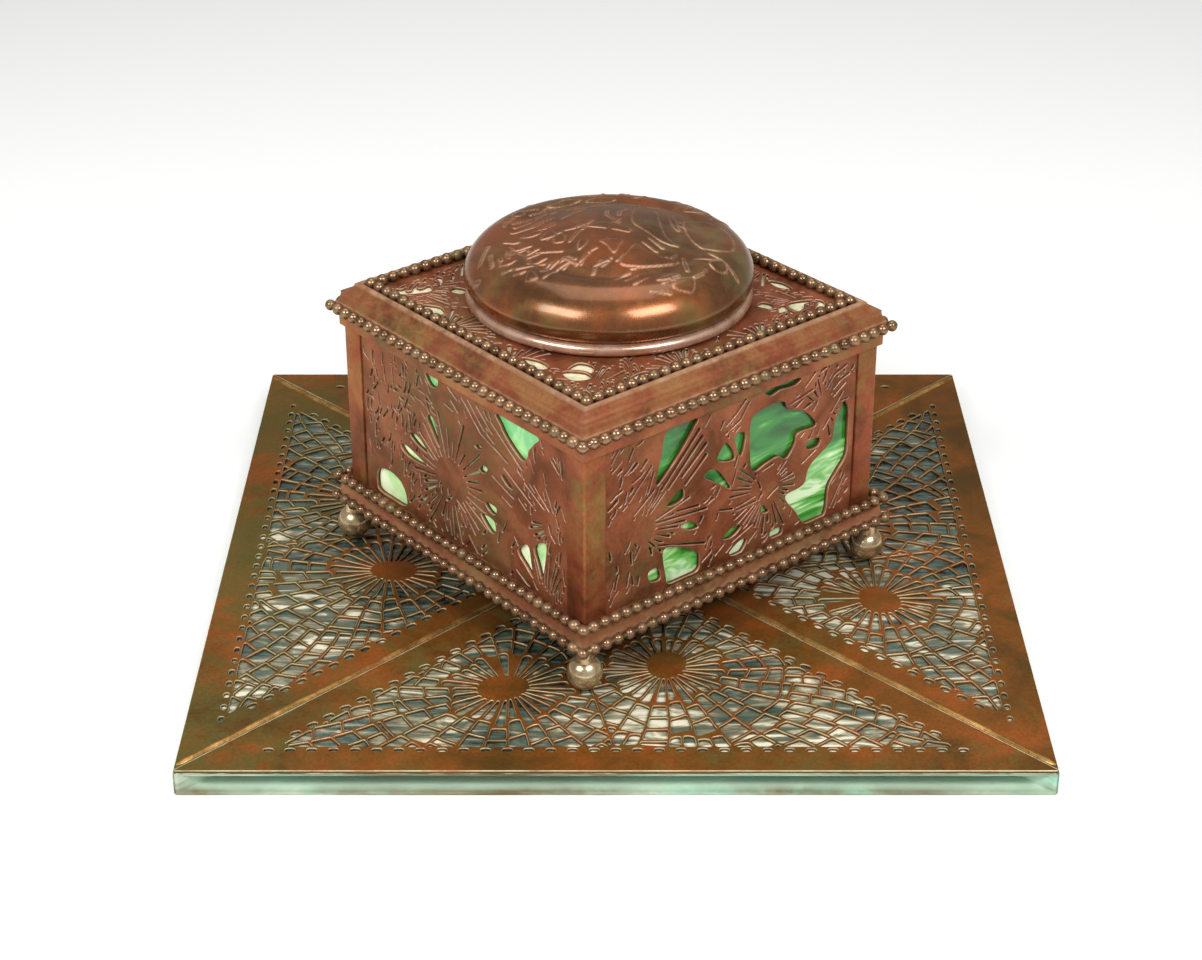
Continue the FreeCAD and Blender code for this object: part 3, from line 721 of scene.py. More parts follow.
def slag_glass(name, colours, streak=9, along=(1.0, 1.0, 1.0), ripple=4, gloss=0.12, painted_glow=0.0,
               paler=0.0, cloud=0.0, forward=0.0):
    """Opalescent sheet glass: milky streaks stirred into a coloured body, under a rippled skin.

    paler is how much whiter the sheet is for each 40 mm downwards, forward the same for each 40 mm
    towards the object's front, and cloud how strongly it varies over areas of about 40 mm. The
    emission setting makes the sheet glow with its own colours: painted light, with no lamp behind it.
    """
    material, tree, shader, place = blank(name)
    drawn = add(tree, "ShaderNodeMapping", {"Vector": place, "Scale": along,
                                            "Rotation": (0.35, 0.25, 0.6)})
    stir = add(tree, "ShaderNodeTexNoise",
               {"Vector": drawn.outputs[0], "Scale": per_metre(streak), "Detail": 4.0,
                "Roughness": 0.55, "Distortion": 1.6})
    reach = 40
    middle = sum(own_span("side_glass_right")[k][2] for k in (0, 1)) / 2
    parts = add(tree, "ShaderNodeSeparateXYZ", {"Vector": place})
    nearer = add(tree, "ShaderNodeMath", {0: parts.outputs["Y"], 1: -forward / (reach * MM),
                                          2: stir.outputs[0]}, operation="MULTIPLY_ADD")
    lower = add(tree, "ShaderNodeMath", {0: parts.outputs["Z"], 1: -paler / (reach * MM),
                                         2: nearer.outputs[0]}, operation="MULTIPLY_ADD")
    level = add(tree, "ShaderNodeMath", {0: lower.outputs[0], 1: paler * middle / reach - cloud / 2},
                operation="ADD")
    area = add(tree, "ShaderNodeTexNoise", {"Vector": place, "Scale": per_metre(reach), "Detail": 1.0})
    mixed = add(tree, "ShaderNodeMath", {0: area.outputs[0], 1: cloud, 2: level.outputs[0]},
                operation="MULTIPLY_ADD")
    tone = add(tree, "ShaderNodeValToRGB", {"Fac": mixed.outputs[0]})
    ramp = tone.color_ramp
    ramp.elements[0].position, ramp.elements[0].color = 0.3, linear(colours[0])
    ramp.elements[1].position, ramp.elements[1].color = 0.72, linear(colours[-1])
    for k, code in enumerate(colours[1:-1]):
        ramp.elements.new(0.3 + 0.42 * (k + 1) / (len(colours) - 1)).color = linear(code)
    skin = add(tree, "ShaderNodeTexNoise",
               {"Vector": place, "Scale": per_metre(ripple), "Detail": 2.0})
    bump = add(tree, "ShaderNodeBump",
               {"Height": skin.outputs[0], "Strength": 0.4, "Distance": 0.15 * MM})
    tree.links.new(tone.outputs[0], shader.inputs["Base Color"])
    tree.links.new(bump.outputs[0], shader.inputs["Normal"])
    shader.inputs["Roughness"].default_value = gloss
    shader.inputs["IOR"].default_value = 1.52
    shader.inputs["Subsurface Weight"].default_value = 0.25
    shader.inputs["Subsurface Radius"].default_value = (0.6, 0.9, 0.6)
    shader.inputs["Subsurface Scale"].default_value = 1.5 * MM
    # Painted glow: the glass emits its own colours as if lit from behind.
    if painted_glow:
        tree.links.new(tone.outputs[0], shader.inputs["Emission Color"])
        shader.inputs["Emission Strength"].default_value = painted_glow
    return material


def box_bronze():
    """Red-brown etched bronze of the walls: matt, earthy, with pink-tan metal at rubbed edges that also
    carries a painted highlight, and painted shade at the openings' foot.
    """
    return patinated("red_brown_etched_bronze", ("#633622", "#824930", "#955a3e"), "#5e5a34",
                     "#d2b09a", patina_share=0.45, metal=0.4, greener=0.2)


def moulding_bronze():
    """Red-brown bronze of the mouldings and posts: smoother, with terracotta and olive patches, and a pale
    rubbed colour on the cornice's roll that is partly wear and partly painted highlight.
    """
    return patinated("red_brown_drawn_bronze", ("#5f3622", "#8a4830", "#94643c"), "#6c6632",
                     "#ab8466", patch=20, patina_share=0.6, gloss=0.33, metal=0.5)


def bead_bronze():
    """Bronze of the pearled wires, handled bright: brown balls that vary one from the next."""
    return patinated("handled_pearled_bronze", ("#5f4a36", "#785f48", "#8b6f57"), "#6c6a48",
                     "#96745a", patch=5, patina_share=0.5, gloss=0.22, metal=0.75, worn="tint",
                     relief=0.02)


def lid_bronze():
    """Polished brown bronze of the lid: reddish and olive clouds under a hard shine."""
    return patinated("polished_brown_bronze", ("#5c3a1e", "#74482a", "#94502a"), "#5f5a2c",
                     "#bd8e72", patch=22, speck=0.7, patina_share=0.55, gloss=0.27, metal=0.7,
                     relief=0.004, spot=9, coat=0.45, mottle=0.06)


def rim_bronze():
    """Bright rubbed bronze of the lid's rolled rim: pale pink-tan and glossy."""
    return patinated("rubbed_rim_bronze", ("#b08468", "#cea58e", "#dab49e"), "#9c8e70", "#d8b49a",
                     patch=9, patina_share=0.35, gloss=0.22, metal=0.7, relief=0.004, coat=0.15,
                     mottle=0.05)


def stand_bronze():
    """Ochre to orange-brown bronze of the blotter corners, with dark olive patina clouds, pale rubbed bar
    edges that are partly a painted highlight, and painted shade at the openings' foot.
    """
    return patinated("ochre_patinated_bronze", ("#543a17", "#73461a", "#8c4c1f"), "#4d4a22",
                     "#d2cba4", patch=24, patina_share=0.8, gloss=0.42, metal=0.4, spot=6,
                     greener=0.3)


def edge_bronze():
    """Golden bronze where a blotter corner's folded edge has been rubbed bare."""
    return patinated("golden_rubbed_bronze", ("#7e5a2a", "#a07642", "#bd9258"), "#6f6836", "#d8b888",
                     patch=9, patina_share=0.5, gloss=0.3, metal=0.7, relief=0.02)


def pocket_bronze():
    """Bronze of the blotter pockets, under blue-green verdigris in long streaks, with painted light that
    makes it palest deep inside, where the pocket lies in shade.
    """
    material = patinated("verdigris_bronze", ("#6b5c3a", "#93a08a", "#b2beaa"), "#8fbfa8", "#b9b596",
                         patch=7, patina_share=0.9, gloss=0.5, metal=0.2, spot=2.5,
                         drawn=(0.12, 0.12, 1.0))
    tree = material.node_tree
    shader = next(node for node in tree.nodes if node.type == "BSDF_PRINCIPLED")
    streaked = shader.inputs["Base Color"].links[0].from_socket
    place = add(tree, "ShaderNodeTexCoord").outputs["Object"]
    apart = add(tree, "ShaderNodeVectorMath", {0: place}, operation="ABSOLUTE")
    sides = add(tree, "ShaderNodeSeparateXYZ", {"Vector": apart.outputs[0]})
    out = add(tree, "ShaderNodeMath", {0: sides.outputs["X"], 1: sides.outputs["Y"]},
              operation="MAXIMUM")
    # Painted light: up to 0.7 of the way to a pale green-white deeper inside the pocket, where shade falls.
    inside = add(tree, "ShaderNodeMapRange",
                 {"Value": out.outputs[0], "From Min": (STAND_HALF - 3.5) * MM,
                  "From Max": (STAND_HALF - 0.7) * MM, "To Min": 0.7, "To Max": 0.0})
    colour = add(tree, "ShaderNodeMix",
                 {0: inside.outputs[0], 6: streaked, 7: linear("#c6e0cc")}, data_type="RGBA")
    tree.links.new(colour.outputs[2], shader.inputs["Base Color"])
    return material


def foot_bronze():
    """Golden polished bronze of the ball feet, a little tarnished."""
    return patinated("golden_ball_bronze", ("#ab9470", "#c6ae88", "#d2c09c"), "#9c9070", "#d8c8a8",
                     patch=6, patina_share=0.3, gloss=0.18, metal=0.85, relief=0.005, coat=0.1,
                     mottle=0.08)


def inner_bronze():
    """Dark brown bronze of the hidden fittings, never polished."""
    return patinated("dull_inner_bronze", ("#3d2a1a", "#4d3522", "#5c422c"), "#4c5236", "#8a6a4c",
                     patina_share=0.4, gloss=0.5)


def hinge_brass():
    """Drawn brass of the hinge pin, with fine bright wear."""
    return patinated("drawn_hinge_brass", ("#8c6c34", "#a5823f", "#b8944e"), "#6e6a3c", "#d8bc7c",
                     patch=4, patina_share=0.3, gloss=0.3, metal=0.9, relief=0.01)


def mint_glass():
    """Milky mint opalescent glass, greener at the head of the pane and creamy at its foot, with a faint
    painted glow.
    """
    return slag_glass("mint_slag_glass", ("#6cba74", "#98d28a", "#c6e4a6", "#f0f6d8"), streak=16,
                      painted_glow=0.15, paler=0.3)


def green_glass():
    """Deep yellow-green opalescent glass with white streaks drawn through it, and a fainter painted glow.
    """
    return slag_glass("green_streaked_slag_glass",
                      ("#0f4c10", "#1a681a", "#2e822a", "#70b65c", "#d4ecc2"), streak=13,
                      along=(0.45, 0.45, 1.4), painted_glow=0.05, paler=0.4)


def cream_glass():
    """Greenish cream opalescent glass under the top plate."""
    return slag_glass("cream_slag_glass", ("#a3aa84", "#c2c09c", "#d8d2b0", "#ece6cc"), streak=10)


def iridescent_glass():
    """Smoky glass of the stand: black, teal, drab and grey-cream streaks, paler in front."""
    return slag_glass("iridescent_smoke_glass",
                      ("#151914", "#32372f", "#3f5851", "#64614e", "#908c74", "#d2ceb8"),
                      streak=9, along=(0.5, 2.0, 1.0), ripple=1.6, gloss=0.2, cloud=0.5,
                      forward=0.045)


def pot_glass():
    """Clear pressed glass of the ink pot, with the faint ripple of its mould."""
    material, tree, shader, place = blank("clear_pressed_glass")
    skin = add(tree, "ShaderNodeTexNoise",
               {"Vector": place, "Scale": per_metre(6), "Detail": 2.0})
    film = add(tree, "ShaderNodeTexNoise",
               {"Vector": place, "Scale": per_metre(9), "Detail": 4.0})
    rough = add(tree, "ShaderNodeMapRange",
                {"Value": film.outputs[0], "From Min": 0.45, "From Max": 0.8, "To Min": 0.03,
                 "To Max": 0.2})
    bump = add(tree, "ShaderNodeBump",
               {"Height": skin.outputs[0], "Strength": 0.3, "Distance": 0.1 * MM})
    shader.inputs["Base Color"].default_value = linear("#e6efe6")
    shader.inputs["Transmission Weight"].default_value = 1.0
    shader.inputs["IOR"].default_value = 1.5
    tree.links.new(rough.outputs[0], shader.inputs["Roughness"])
    tree.links.new(bump.outputs[0], shader.inputs["Normal"])
    return material


def studio_paper():
    """Matt white background paper, with a tooth too fine to see except in grazing light."""
    material, tree, shader, place = blank("studio_paper")
    tooth = add(tree, "ShaderNodeTexNoise", {"Vector": place, "Scale": per_metre(2)})
    bump = add(tree, "ShaderNodeBump",
               {"Height": tooth.outputs[0], "Strength": 0.1, "Distance": 0.02 * MM})
    shader.inputs["Base Color"].default_value = linear("#f4f4f2")
    shader.inputs["Roughness"].default_value = 0.9
    tree.links.new(bump.outputs[0], shader.inputs["Normal"])
    return material


MAKERS = {
    "box": box_bronze, "moulding": moulding_bronze, "bead": bead_bronze, "lid": lid_bronze,
    "rim": rim_bronze, "stand": stand_bronze, "edge": edge_bronze, "pocket": pocket_bronze,
    "foot": foot_bronze, "inner": inner_bronze, "brass": hinge_brass, "mint": mint_glass,
    "green": green_glass, "cream": cream_glass, "smoke": iridescent_glass, "pot": pot_glass,
    "paper": studio_paper,
}
made = {}


def finish_of(key):
    """A material by its short key, made the first time that it is asked for."""
    if key not in made:
        made[key] = MAKERS[key]()
    return made[key]


# ---- Stand ---------------------------------------------------------------------------------------
# Pine bursts of a section: centre, core radius, how far the needles reach, bearing of the core's bulge
BURSTS = [((-26.5, -69.0), 5.6, 16.5, 200), ((12.6, -60.5), 5.2, 16.0, 80)]
NEEDLES = 28
WEB_SPLITS = (32.0, 60.0, 500.0)       # where the web's columns split in two, from a burst's centre


def stand_cut_work(sizes):
    """Openings of one section's top sheet, drawn for the front section."""
    chance = random.Random(7)
    step, clear_of_border = 0.25, 1.3
    work = CutWork((-STAND_HALF, -STAND_HALF), (STAND_HALF, 0), step)
    x, y = work.x, work.y
    to_front = y + STAND_HALF
    to_leg = (-y - np.abs(x)) / math.sqrt(2)
    margin = sizes.border_inset + clear_of_border
    inside = np.minimum(to_front, to_leg) - margin
    away = [np.hypot(x - centre[0], y - centre[1]) for centre, *_ in BURSTS]
    apart = math.dist(BURSTS[0][0], BURSTS[1][0])
    reaches = []
    for number, (centre, _, reach, _) in enumerate(BURSTS):
        nearer = (away[1 - number] ** 2 - away[number] ** 2) / (2 * apart)
        reaches.append(np.array([reach * chance.uniform(0.85, 1.1) for _ in range(NEEDLES)]))
        own = np.minimum(inside, nearer - sizes.web_bar / 2)
        work.pine_web(centre, NEEDLES, reaches[-1], sizes.web_bar, own, number)
    narrowest, widest = 0.3, 1.25                   # half widths of a needle
    near_bar, far_bar, least_bar = 0.7, 0.9, 0.65   # metal left between two needles
    for (centre, core, _, bulge), reach in zip(BURSTS, reaches):
        for k, far in enumerate(reach - 0.5):
            turn = math.tau * (k + 0.5) / NEEDLES - BAR_SWAY * math.sin(2 + 3 * k)
            lean = turn - math.radians(bulge)
            near = core * (1 + 0.28 * math.cos(lean) + 0.16 * math.cos(2 * lean))
            if -centre[1] - far * math.sin(turn) < margin:
                continue
            half_near = (math.tau * near / NEEDLES - near_bar) / 2
            half_far = min(widest, (math.tau * far / NEEDLES - far_bar) / 2)
            ray = (math.cos(turn), math.sin(turn))
            a = (centre[0] + (near + 0.4) * ray[0], centre[1] + (near + 0.4) * ray[1])
            b = (centre[0] + (far - half_far) * ray[0], centre[1] + (far - half_far) * ray[1])
            work.stroke([a, b], max(narrowest, half_near), half_far, least_bar)
    border_holes(work, sizes)
    return work


def border_holes(work, sizes):
    """Row of small oblong holes along a section's long edge and of larger ones along both legs."""
    inset, pitch = sizes.border_inset, sizes.border_pitch
    corner = STAND_HALF - inset - inset * math.sqrt(2)
    count = int(corner / pitch)
    half, least_bar = 0.75, 0.4
    for k in range(-count, count + 1):
        low = inset - STAND_HALF
        work.stroke([(k * pitch - 0.55, low), (k * pitch + 0.55, low)], half, half, least_bar)
    step = pitch / math.sqrt(2)
    slim, broad = 0.8, 1.1
    for side in (-1, 1):
        for k in range(2, int(corner / step)):
            x, y = k * step, -k * step - inset * math.sqrt(2)
            line = [(side * (x - 0.4), y + 0.4), (side * (x + 0.4), y - 0.4)]
            work.stroke(line, slim, broad, least_bar)


def turned_place(turn, low):
    """Placing function of a stand section: a quarter turn for each section, at a height."""
    spin = Matrix.Rotation(turn * math.pi / 2, 4, "Z")
    return lambda u, v, w: spin @ Vector((u, v, low + w))


def folded_edge(name, turn, material):
    """Rounded ridges where a section's top sheet is folded down along its two legs."""
    radius, proud = 1.1, 0.65
    stations, around = 60, 12
    tip, inset = 2.0, 1.85
    points, faces = [], []
    for side in (-1, 1):
        first = len(points)
        start = Vector((side * tip, -tip - inset, 0))
        end = Vector((side * (STAND_HALF - inset - 0.35), 0.35 - STAND_HALF, 0))
        along = (end - start).normalized()
        across = Vector((-along.y, along.x, 0))
        for station in range(stations + 1):
            centre = start.lerp(end, station / stations)
            wave = 0.12 * noise.noise(centre * 0.12 + Vector((0, 0, turn * 7 + side)))
            size = radius * (0.9 + wave) * (0.55 if station in (0, stations) else 1.0)
            for k in range(around):
                about = math.tau * k / around
                rise = STAND_TOP + proud - radius + size * math.sin(about)
                points.append(centre + across * (size * math.cos(about)) + Vector((0, 0, rise)))
        for station in range(stations):
            for k in range(around):
                a = first + station * around + k
                b = first + station * around + (k + 1) % around
                faces.append((a, b, b + around, a + around))
        faces.append(tuple(first + k for k in reversed(range(around))))
        faces.append(tuple(first + stations * around + k for k in range(around)))
    spin = Matrix.Rotation(turn * math.pi / 2, 4, "Z")
    mesh = cleaned(mesh_of(name, [spin @ point for point in points], faces))
    return show(name, mesh, material)


# ---- Box walls -----------------------------------------------------------------------------------
def solid_wall_openings(work):
    """Wall with a big pine burst, mostly metal, and a few leaf-shaped lights."""
    for leaf in (
            [(-38.2, -19.5), (-37.2, -15.6), (-32.6, -14.0), (-27.2, -15.2), (-24.8, -19.0),
             (-26.2, -22.0), (-36.6, -22.1)],
            [(15.2, 21.9), (30.8, 21.9), (29.4, 19.0), (27.4, 16.4), (26.8, 14.3), (24.6, 12.7),
             (19.2, 15.9), (16.2, 19.1)],
            [(-14.4, 21.9), (-9.4, 21.9), (-9.8, 19.4), (-12.0, 18.7), (-13.8, 20.0)],
            [(22.4, -13.9), (26.6, -10.5), (28.0, -16.0), (28.6, -19.2), (25.6, -17.0)],
            [(29.0, -9.9), (33.7, -7.0), (33.3, -13.0), (32.0, -17.8), (30.4, -14.5)],
            [(-14.6, 9.3), (-12.2, 10.1), (-10.6, 7.5), (-9.2, 2.5), (-10.6, 3.3), (-12.8, 6.3)],
            [(-22.2, 1.1), (-19.6, 2.0), (-16.4, 0.5), (-14.6, -1.6), (-17.6, -1.3), (-20.6, -0.3)],
            [(-26.6, -4.0), (-24.6, -3.0), (-20.4, -3.8), (-15.2, -5.4), (-18.6, -6.1), (-24.0, -5.9)],
            [(9.4, -5.5), (14.0, -5.3), (13.2, -7.7), (10.8, -7.3)],
            [(7.4, -9.7), (12.8, -9.5), (13.4, -12.7), (11.2, -13.3)],
            [(7.2, 2.9), (8.6, 4.7), (10.8, 4.5), (9.0, 2.5)],
            [(16.2, 4.9), (17.6, 5.5), (21.0, 3.2), (19.0, 2.8)],
            [(5.6, 9.0), (7.2, 10.0), (8.6, 9.5), (7.0, 8.5)]):
        work.opening(leaf, 0.45)
    work.strokes([
        [(0.8, 20.7), (8.4, 13.7), (19.2, 9.9)], [(3.4, 21.1), (9.8, 15.1)], [(6.8, 20.7), (13.2, 15.5)],
        [(8.8, 15.7), (13.8, 13.1)], [(12.6, 18.6), (24.8, 10.3)], [(-4.8, 21.4), (-1.2, 19.3)],
        [(17.6, 7.7), (28.8, 1.9)], [(25.8, 6.9), (33.4, 2.9)], [(29.6, 7.7), (35.4, 3.1)],
        [(34.0, 8.9), (37.0, 3.5)], [(12.8, 3.5), (21.2, 0.7)], [(23.4, 1.5), (26.2, -0.3)],
        [(21.4, -10.3), (30.2, -21.4)], [(22.0, -19.5), (27.6, -22.6)], [(2.4, -18.2), (6.4, -22.4)],
        [(-2.4, -9.9), (1.0, -12.0)], [(-0.8, -12.9), (1.2, -16.2)], [(16.6, -0.7), (20.4, -2.0)]])
    hub = (-5.0, -5.6)
    work.fan(hub, 6.2, 19.5, -176, 184, 30, 0.3, seed=3, bar=0.45)
    work.fan((36.6, -0.9), 4.0, 13.0, 190, 262, 7, 0.3, seed=4)
    work.fan((36.0, -0.9), 3.4, 8.5, 60, 128, 7, 0.26, seed=5)
    work.fan((33.4, -26.0), 6.0, 20.0, 60, 112, 8, 0.3, seed=7)
    work.fan((-4.0, -31.0), 9.0, 17.0, 30, 150, 10, 0.27, seed=9)
    work.dashes((-41, -12), (-18, 22), 78, 78, 10)
    work.dashes((-41, 2), (-14, 22), 26, 155, 15)
    work.dashes((-20, 8), (14, 22), 24, 140, 11)
    work.dashes((-24, -22), (22, -8), 40, 62, 12)
    work.dashes((24, -6), (41, 22), 34, 110, 13)
    work.dashes((34, -22), (41, -2), 16, 92, 14)


def open_wall_openings(work):
    """Wall with large lights between branches, and long needles at its middle."""
    for light in (
            [(-22.2, 21.9), (-12.8, 21.9), (-13.8, 19.5), (-17.0, 15.5), (-21.0, 11.3), (-25.5, 7.5),
             (-25.8, 9.9), (-24.4, 15.0)],
            [(-22.2, 0.9), (-17.6, 3.9), (-16.8, 1.1), (-20.0, 0.1)],
            [(-17.8, -6.7), (-14.0, -6.8), (-11.6, -9.2), (-15.0, -8.9)],
            [(-23.4, -12.0), (-20.0, -11.8), (-12.2, -16.0), (-11.0, -19.3), (-12.2, -22.1),
             (-21.0, -22.1), (-22.4, -19.3)],
            [(-28.2, -16.2), (-25.0, -16.0), (-24.2, -19.5), (-27.4, -19.2)],
            [(-10.2, 4.6), (-7.2, 5.7), (-4.0, 3.1), (-0.8, -2.1), (-4.8, 0.7)],
            [(-5.8, 8.3), (-3.2, 11.6), (-1.0, 9.7), (0.2, 6.1), (-3.8, 6.6)],
            [(0.2, 12.9), (3.6, 12.3), (3.4, 8.5), (2.2, 6.1), (0.6, 9.5)],
            [(5.4, 14.9), (9.0, 17.1), (13.6, 17.4), (17.0, 16.6), (18.6, 13.9), (23.2, 12.1),
             (26.8, 9.1), (28.4, 5.9), (22.2, 5.9), (21.2, 3.1), (18.4, -0.1), (15.2, 1.5),
             (11.0, 0.9), (6.8, 0.1), (5.5, 5.2)],
            [(10.4, 22.0), (22.0, 21.8), (20.4, 20.1), (15.4, 20.5), (12.0, 19.9)],
            [(38.2, 9.7), (40.2, 7.1), (40.4, 0.0), (40.2, -6.5), (36.8, -10.7), (34.2, -14.3),
             (33.0, -22.1), (26.2, -22.1), (22.4, -17.1), (18.4, -11.2), (24.8, -10.0),
             (27.0, -5.1), (34.2, -0.5), (35.4, 4.7)],
            [(25.2, 1.7), (28.2, 2.4), (30.4, 1.6), (29.6, -0.4), (26.2, -0.2)],
            [(-3.4, -15.8), (0.0, -13.7), (3.2, -14.4), (0.0, -16.5)],
            [(-0.8, -20.7), (3.2, -18.4), (5.3, -19.4), (3.4, -22.1), (0.4, -22.1)],
            [(13.6, -19.9), (17.4, -19.7), (17.6, -22.0), (14.0, -22.1)],
            [(10.0, -11.0), (11.4, -11.6), (12.6, -13.6), (10.4, -13.2)]):
        work.opening(light, 0.45)
    work.strokes([[(-24.2, 5.9), (-12.0, 18.6)], [(-22.0, 5.5), (-11.0, 16.3)],
                  [(-17.6, 7.2), (-9.6, 13.9)], [(-16.4, 4.7), (-9.6, 10.7)]], 0.42, 0.5)
    work.strokes([
        [(-26.0, -1.9), (-15.0, 0.7)], [(-25.8, -2.9), (-9.0, -4.7)], [(-19.0, -2.0), (-11.6, -2.9)],
        [(-25.0, -9.6), (-9.4, -14.6)], [(-3.0, 16.5), (0.4, 18.9), (3.6, 21.9)],
        [(-1.6, 15.1), (1.8, 16.7), (4.6, 20.6)], [(-10.2, 18.8), (-8.4, 21.2)],
        [(0.0, -17.9), (6.8, -15.1)], [(3.4, -22.0), (8.4, -17.6)], [(-5.8, -19.6), (-3.0, -17.4)],
        [(-4.6, -7.0), (0.0, -8.2)], [(1.2, -9.1), (8.0, -8.7)], [(8.6, -3.3), (9.6, -5.7)],
        [(31.8, 15.6), (34.2, 18.7), (38.6, 20.3)], [(34.2, 14.7), (36.6, 16.5), (39.8, 17.6)],
        [(24.0, 18.6), (27.6, 21.7)], [(19.0, 15.2), (26.8, 17.0)], [(-34.6, 6.2), (-27.4, 13.8)],
        [(-33.0, 2.0), (-26.6, 6.8)], [(-31.4, 10.4), (-28.4, 12.8)], [(23.8, -3.4), (29.4, -0.5)],
        [(9.8, -0.7), (13.6, 0.2)], [(33.8, 8.2), (37.6, 12.8)], [(31.0, 4.2), (33.0, 6.6)],
        [(30.2, -17.0), (34.6, -9.9), (38.8, -8.0)], [(34.8, -20.4), (39.6, -12.0)]])
    work.fan((-32.0, -3.4), 5.0, 19.0, 42, 82, 8, 0.26, seed=21)
    work.fan((-32.0, -3.4), 5.5, 19.0, -50, 10, 11, 0.27, seed=22)
    work.fan((12.0, -6.5), 5.5, 15.0, 100, 176, 9, 0.28, seed=23)
    work.fan((12.0, -6.5), 4.5, 14.0, 184, 300, 14, 0.28, seed=24)
    work.fan((12.0, -6.5), 4.5, 11.0, -50, 60, 10, 0.24, seed=25)
    work.fan((31.2, 10.3), 4.0, 11.0, -170, 150, 18, 0.25, seed=26)
    work.dashes((-41, 2), (-27, 22), 36, 52, 28)
    work.dashes((-41, -22), (-27, -6), 22, 80, 29)
    work.dashes((20, 12), (41, 22), 18, 40, 30)
    work.dashes((34, -22), (41, -10), 12, 60, 31, length=1.6)
    work.dashes((-12, -22), (24, -8), 24, 45, 32)
    work.dashes((-12, -6), (12, 20), 20, 50, 33)


def side_tracery(turn, sizes):
    """One pierced wall."""
    name = SIDES[turn]
    node = "side_grille_" + name
    low, high = own_span(node, turn)
    half_wide, half_high = (high[0] - low[0]) / 2, (high[2] - low[2]) / 2
    middle = (high[2] + low[2]) / 2
    thickness = high[1] - low[1]
    step, rim = 0.13, 0.7
    work = CutWork((-half_wide, -half_high), (half_wide, half_high), step)
    if name in ("left", "far_right"):
        solid_wall_openings(work)
    else:
        open_wall_openings(work)
    to_edge = np.minimum(half_wide - np.abs(work.x), half_high - np.abs(work.y)) - rim
    work.depth = np.minimum(work.depth, to_edge)
    outline = [(-half_wide, -half_high), (half_wide, -half_high), (half_wide, half_high),
               (-half_wide, half_high)]
    return pierced_sheet("side_tracery_" + name, outline, work.outlines(0.3, 0.25), thickness,
                         sizes.lip, lambda u, v, w: on_side(turn, u, low[1] + w, middle + v),
                         finish_of("box"))


# ---- Mouldings -----------------------------------------------------------------------------------
def square_moulding(name, profile, rubbed, material, wear=0.05):
    """A moulding swept round the square box with mitred corners, from a closed (d, z) profile.

    The third argument gives how rubbed each profile point is, from 0 to 1, partly wear and partly painted
    highlight, and becomes the point attribute rim.
    """
    stations = [0.0, 0.01] + [0.02 + 0.96 * k / 44 for k in range(45)] + [0.99]
    at_mitre, mitre_wear = (0.0, 0.01, 0.99), 0.25
    count = len(profile)
    points, rim = [], []
    for turn in range(4):
        for station in stations:
            mitre = mitre_wear if station in at_mitre else 0.0
            for (d, z), worn in zip(profile, rubbed):
                u = (2 * station - 1) * d
                point = on_side(turn, u, d, z)
                push = wear * noise.noise(point * 0.16)
                points.append(on_side(turn, u * (1 + push / d), d + push, z))
                rim.append(max(worn, mitre if worn > 0.05 else 0.0))
    rings = 4 * len(stations)
    faces = []
    for ring in range(rings):
        here, there = ring * count, (ring + 1) % rings * count
        for i in range(count):
            j = (i + 1) % count
            faces.append((here + i, there + i, there + j, here + j))
    mesh = mesh_of(name, points, faces, 32)
    mesh.attributes.new("rim", "FLOAT", "POINT").data.foreach_set("value", rim)
    mesh = cleaned(mesh)
    mesh.set_sharp_from_angle(angle=math.radians(32))
    return show(name, mesh, material)


def wear_and_highlight_of(profile, places, least=0.1, reach=0.65):
    """How rubbed each profile point is, partly wear and partly painted highlight: 1 at the given (d, z)
    places, fading to least over a reach.
    """
    worn = []
    for d, z in profile:
        nearest = min(math.hypot(d - pd, z - pz) for pd, pz in places)
        worn.append(max(least, 1 - nearest / reach))
    return worn


def base_moulding_profile():
    """Bold band between the two lower pearled wires, with eased corners."""
    low, high = own_span("base_moulding_right")
    inner, foot, head = high[1] - 6.8, low[2], high[2]
    return traced([
        [(inner, foot), (inner + 6.0, foot)],
        [(inner + 6.0, foot), (inner + 6.3, foot + 0.1), (inner + 6.35, foot + 0.4)],
        [(inner + 6.35, foot + 0.4), (inner + 6.8, foot + 2.8)],
        [(inner + 6.8, foot + 2.8), (inner + 6.45, foot + 4.5), (inner + 6.6, head - 0.3)],
        [(inner + 6.6, head - 0.3), (inner + 6.5, head - 0.05), (inner + 6.3, head)],
        [(inner + 6.3, head), (inner, head)],
        [(inner, head), (inner, foot)],
    ], 8)


def cornice_profile():
    """Fillet, seat of the pearled wire, convex band, cove and rolled upper edge."""
    foot, ledge = own_span("cornice_right")[0][2], own_span("top_glass")[0][2]
    inner, lip = own_span("bottom_plate")[1][0], own_span("top_grille")[1][0]
    shelf = ledge - 2.6
    return traced([
        [(inner, foot), (inner + 4.9, foot)],
        [(inner + 4.9, foot), (inner + 5.05, foot + 0.05), (inner + 5.1, foot + 0.2)],
        [(inner + 5.1, foot + 0.2), (inner + 5.1, foot + 4.1)],
        [(inner + 5.1, foot + 4.1), (inner + 5.7, foot + 4.4)],
        [(inner + 5.7, foot + 4.4), (inner + 5.7, foot + 6.7)],
        [(inner + 5.7, foot + 6.7), (inner + 4.8, foot + 8.0), (inner + 4.6, foot + 9.7)],
        [(inner + 4.6, foot + 9.7), (inner + 3.1, foot + 10.15), (lip + 1.8, foot + 11.2)],
        [(lip + 1.8, foot + 11.2), (lip + 0.95, foot + 12.15), (lip, foot + 11.2)],
        [(lip, foot + 11.2), (lip, ledge)],
        [(lip, ledge), (lip - 2.8, ledge)],
        [(lip - 2.8, ledge), (inner, shelf)],
        [(inner, shelf), (inner, foot)],
    ], 12)


